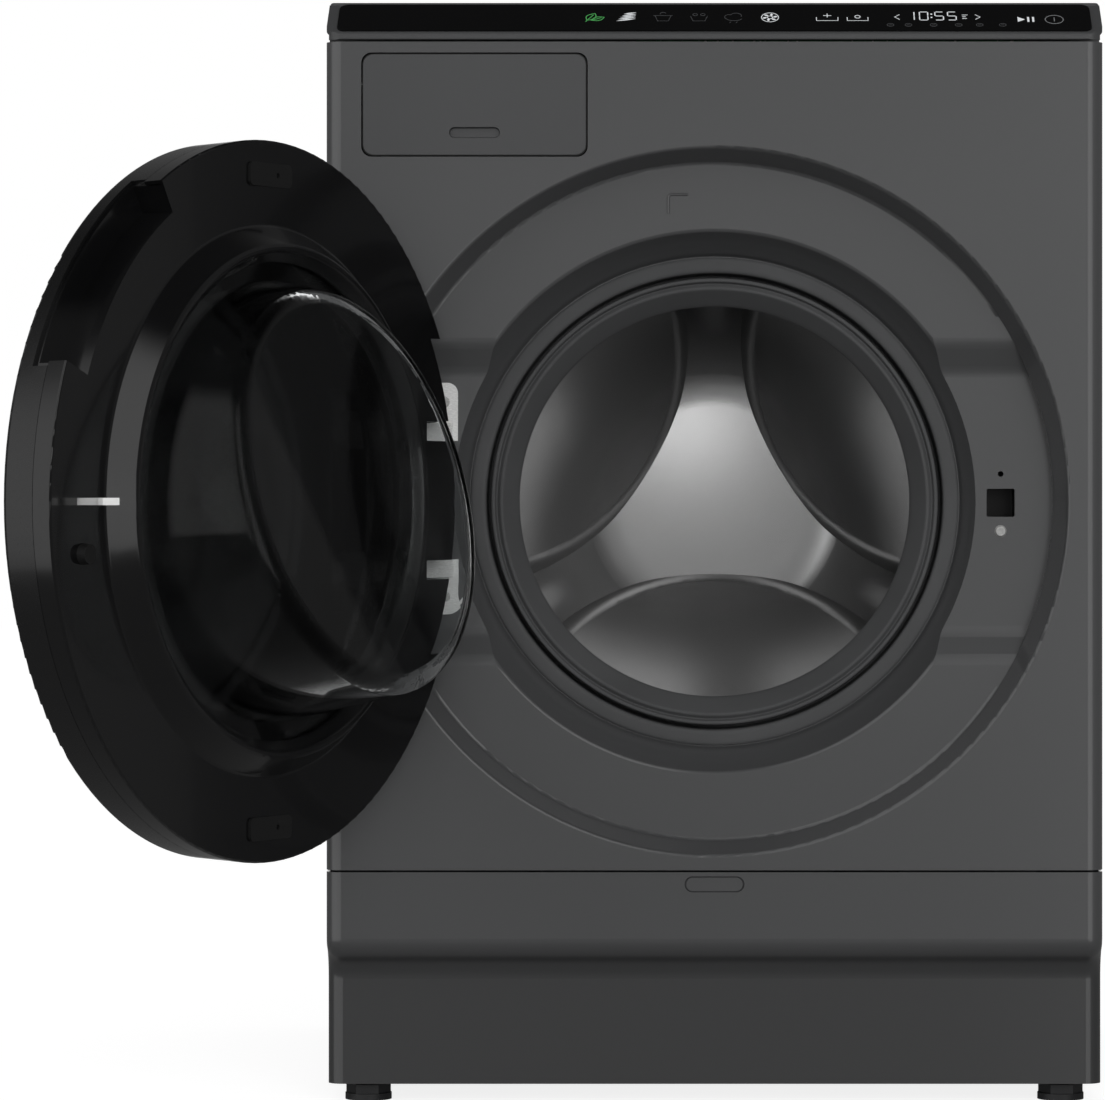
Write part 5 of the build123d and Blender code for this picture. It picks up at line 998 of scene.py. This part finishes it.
def ray_kinds(bench):
    """What a ray is, 1 or 0 each: from the camera, sent on by gloss, sent on by glass."""
    camera_ray = bench.make("ShaderNodeLightPath", {}, {}, "Is Camera Ray")
    glossy_ray = camera_ray.other("Is Glossy Ray")
    return camera_ray, glossy_ray, camera_ray.other("Is Transmission Ray")


def lay_floor():
    """A wide floor: white with the machine's shadow to the camera, clear to gloss, else dull."""
    work = bmesh.new()
    bmesh.ops.create_grid(
        work, x_segments=FLOOR_CELLS, y_segments=FLOOR_CELLS, size=FLOOR_REACH,
    )
    mesh = bpy.data.meshes.new("floor")
    work.to_mesh(mesh)
    work.free()
    floor = bpy.data.objects.new("floor", mesh)
    bpy.context.scene.collection.objects.link(floor)
    material, bench = open_finish("floor_pale")
    camera_ray, glossy_ray, _ = ray_kinds(bench)
    clear = bench.make("ShaderNodeBsdfTransparent", {}, {})
    dull = bench.make("ShaderNodeBsdfDiffuse", {}, {"Color": FLOOR_DULL})
    chalk = bench.make("ShaderNodeBsdfDiffuse", {}, {"Color": FLOOR_CHALK})
    glow = bench.make("ShaderNodeEmission", {}, {"Color": WHITE, "Strength": FLOOR_GLOW})
    pale = bench.make("ShaderNodeAddShader", {}, {0: chalk, 1: glow})
    mixed = bench.make("ShaderNodeMixShader", {}, {0: camera_ray, 1: dull, 2: pale})
    mixed = bench.make("ShaderNodeMixShader", {}, {0: glossy_ray, 1: mixed, 2: clear})
    bench.make("ShaderNodeOutputMaterial", {}, {"Surface": mixed})
    mesh.materials.append(material)


def light_world():
    """The light all round.

    The camera sees white. Gloss and glass see a dim studio with two pale walls, and white
    at the back: gloss only straight back, glass more widely. Everything else gets even light.
    """
    world = bpy.data.worlds.new("studio")
    bpy.context.scene.world = world
    world.use_nodes = True
    world.node_tree.nodes.clear()
    bench = Wire(world.node_tree)
    camera_ray, glossy_ray, glass_ray = ray_kinds(bench)
    way = bench.make("ShaderNodeTexCoord", {}, {}, "Generated")
    right = bench.make("ShaderNodeSeparateXYZ", {}, {0: way}, 0)
    back, rise = right.other(1), right.other(2)
    azimuth = back.maths("ARCTAN2", right, 0 - back)
    right_wall = azimuth.band(*RIGHT_WALL)
    left_wall = (0 - azimuth).band(*LEFT_WALL)
    walls = (right_wall * RIGHT_LIGHT + left_wall * LEFT_LIGHT) * rise.band(*WALL_RISE)
    studio = STUDIO_LIGHT + (1 - rise.step(*STUDIO_TOP)) * STUDIO_LOWER + walls
    in_gloss = studio + back.step(*GLOSS_BACK) * BACK_LIGHT
    in_glass = studio + back.step(*GLASS_BACK) * BACK_LIGHT
    level = EVEN_LIGHT + glossy_ray * (in_gloss - EVEN_LIGHT)
    level = level + glass_ray * (in_glass - level)
    level = level + camera_ray * (1 - level)
    glow = bench.make("ShaderNodeBackground", {}, {"Color": WHITE, "Strength": level})
    bench.make("ShaderNodeOutputWorld", {}, {"Surface": glow})


def soft_panel(name, place, target, wide, tall, radiance, shines=True):
    """A rectangular lamp panel of even brightness, turned towards a point."""
    lamp = bpy.data.lights.new(name, "AREA")
    lamp.shape = "RECTANGLE"
    lamp.size = wide
    lamp.size_y = tall
    lamp.energy = radiance * pi * wide * tall
    panel = bpy.data.objects.new(name, lamp)
    panel.location = place
    panel.rotation_euler = (Vector(target) - Vector(place)).to_track_quat("-Z", "Y").to_euler()
    panel.visible_camera = False
    panel.visible_glossy = shines
    panel.visible_transmission = shines
    bpy.context.scene.collection.objects.link(panel)


lay_floor()
light_world()
soft_panel(
    "panel_left", place=(-2.35, -1.35, 1.40), target=(-0.4, -0.6, 1.40),
    wide=1.6, tall=2.0, radiance=0.75, shines=False,
)
soft_panel(
    "panel_right", place=(1.9, -3.7, 1.40), target=(0, -0.29, 0.9),
    wide=1.8, tall=2.0, radiance=1.3, shines=False,
)
soft_panel(
    "front_fill", place=(0.7, -5.0, 1.5), target=(0, -0.29, 0.5),
    wide=2.2, tall=2.0, radiance=5.05, shines=False,
)
DRUM_MIDDLE = (0, 0.13, 0.464)
soft_panel(
    "drum_glow", place=(-0.03, -4.5, 0.58), target=DRUM_MIDDLE,
    wide=1.0, tall=0.9, radiance=0.16,
)
soft_panel(
    "drum_lamp", place=(-0.06, -4.4, 0.62), target=DRUM_MIDDLE,
    wide=0.16, tall=0.12, radiance=5.0,
)

# The camera's lens in millimetres, its shifts as shares of the picture, its distances in metres
FOCAL = 161.07
SENSOR = 36.0
SHIFT_RIGHT = -0.1466
SHIFT_UP = -0.0439
CAMERA_Y = -4.090
FARTHEST = 100.0
view = bpy.data.cameras.new("front_view")
view.lens = FOCAL
view.sensor_width = SENSOR
view.sensor_fit = "HORIZONTAL"
view.shift_x = SHIFT_RIGHT
view.shift_y = SHIFT_UP
view.clip_end = FARTHEST
camera = bpy.data.objects.new("front_view", view)
camera.location = (0.0, CAMERA_Y, AXIS_Z)
camera.rotation_euler = (radians(90), 0, 0)
bpy.context.scene.collection.objects.link(camera)
bpy.context.scene.camera = camera
bpy.context.scene.view_settings.view_transform = "Standard"

bpy.context.view_layer.update()
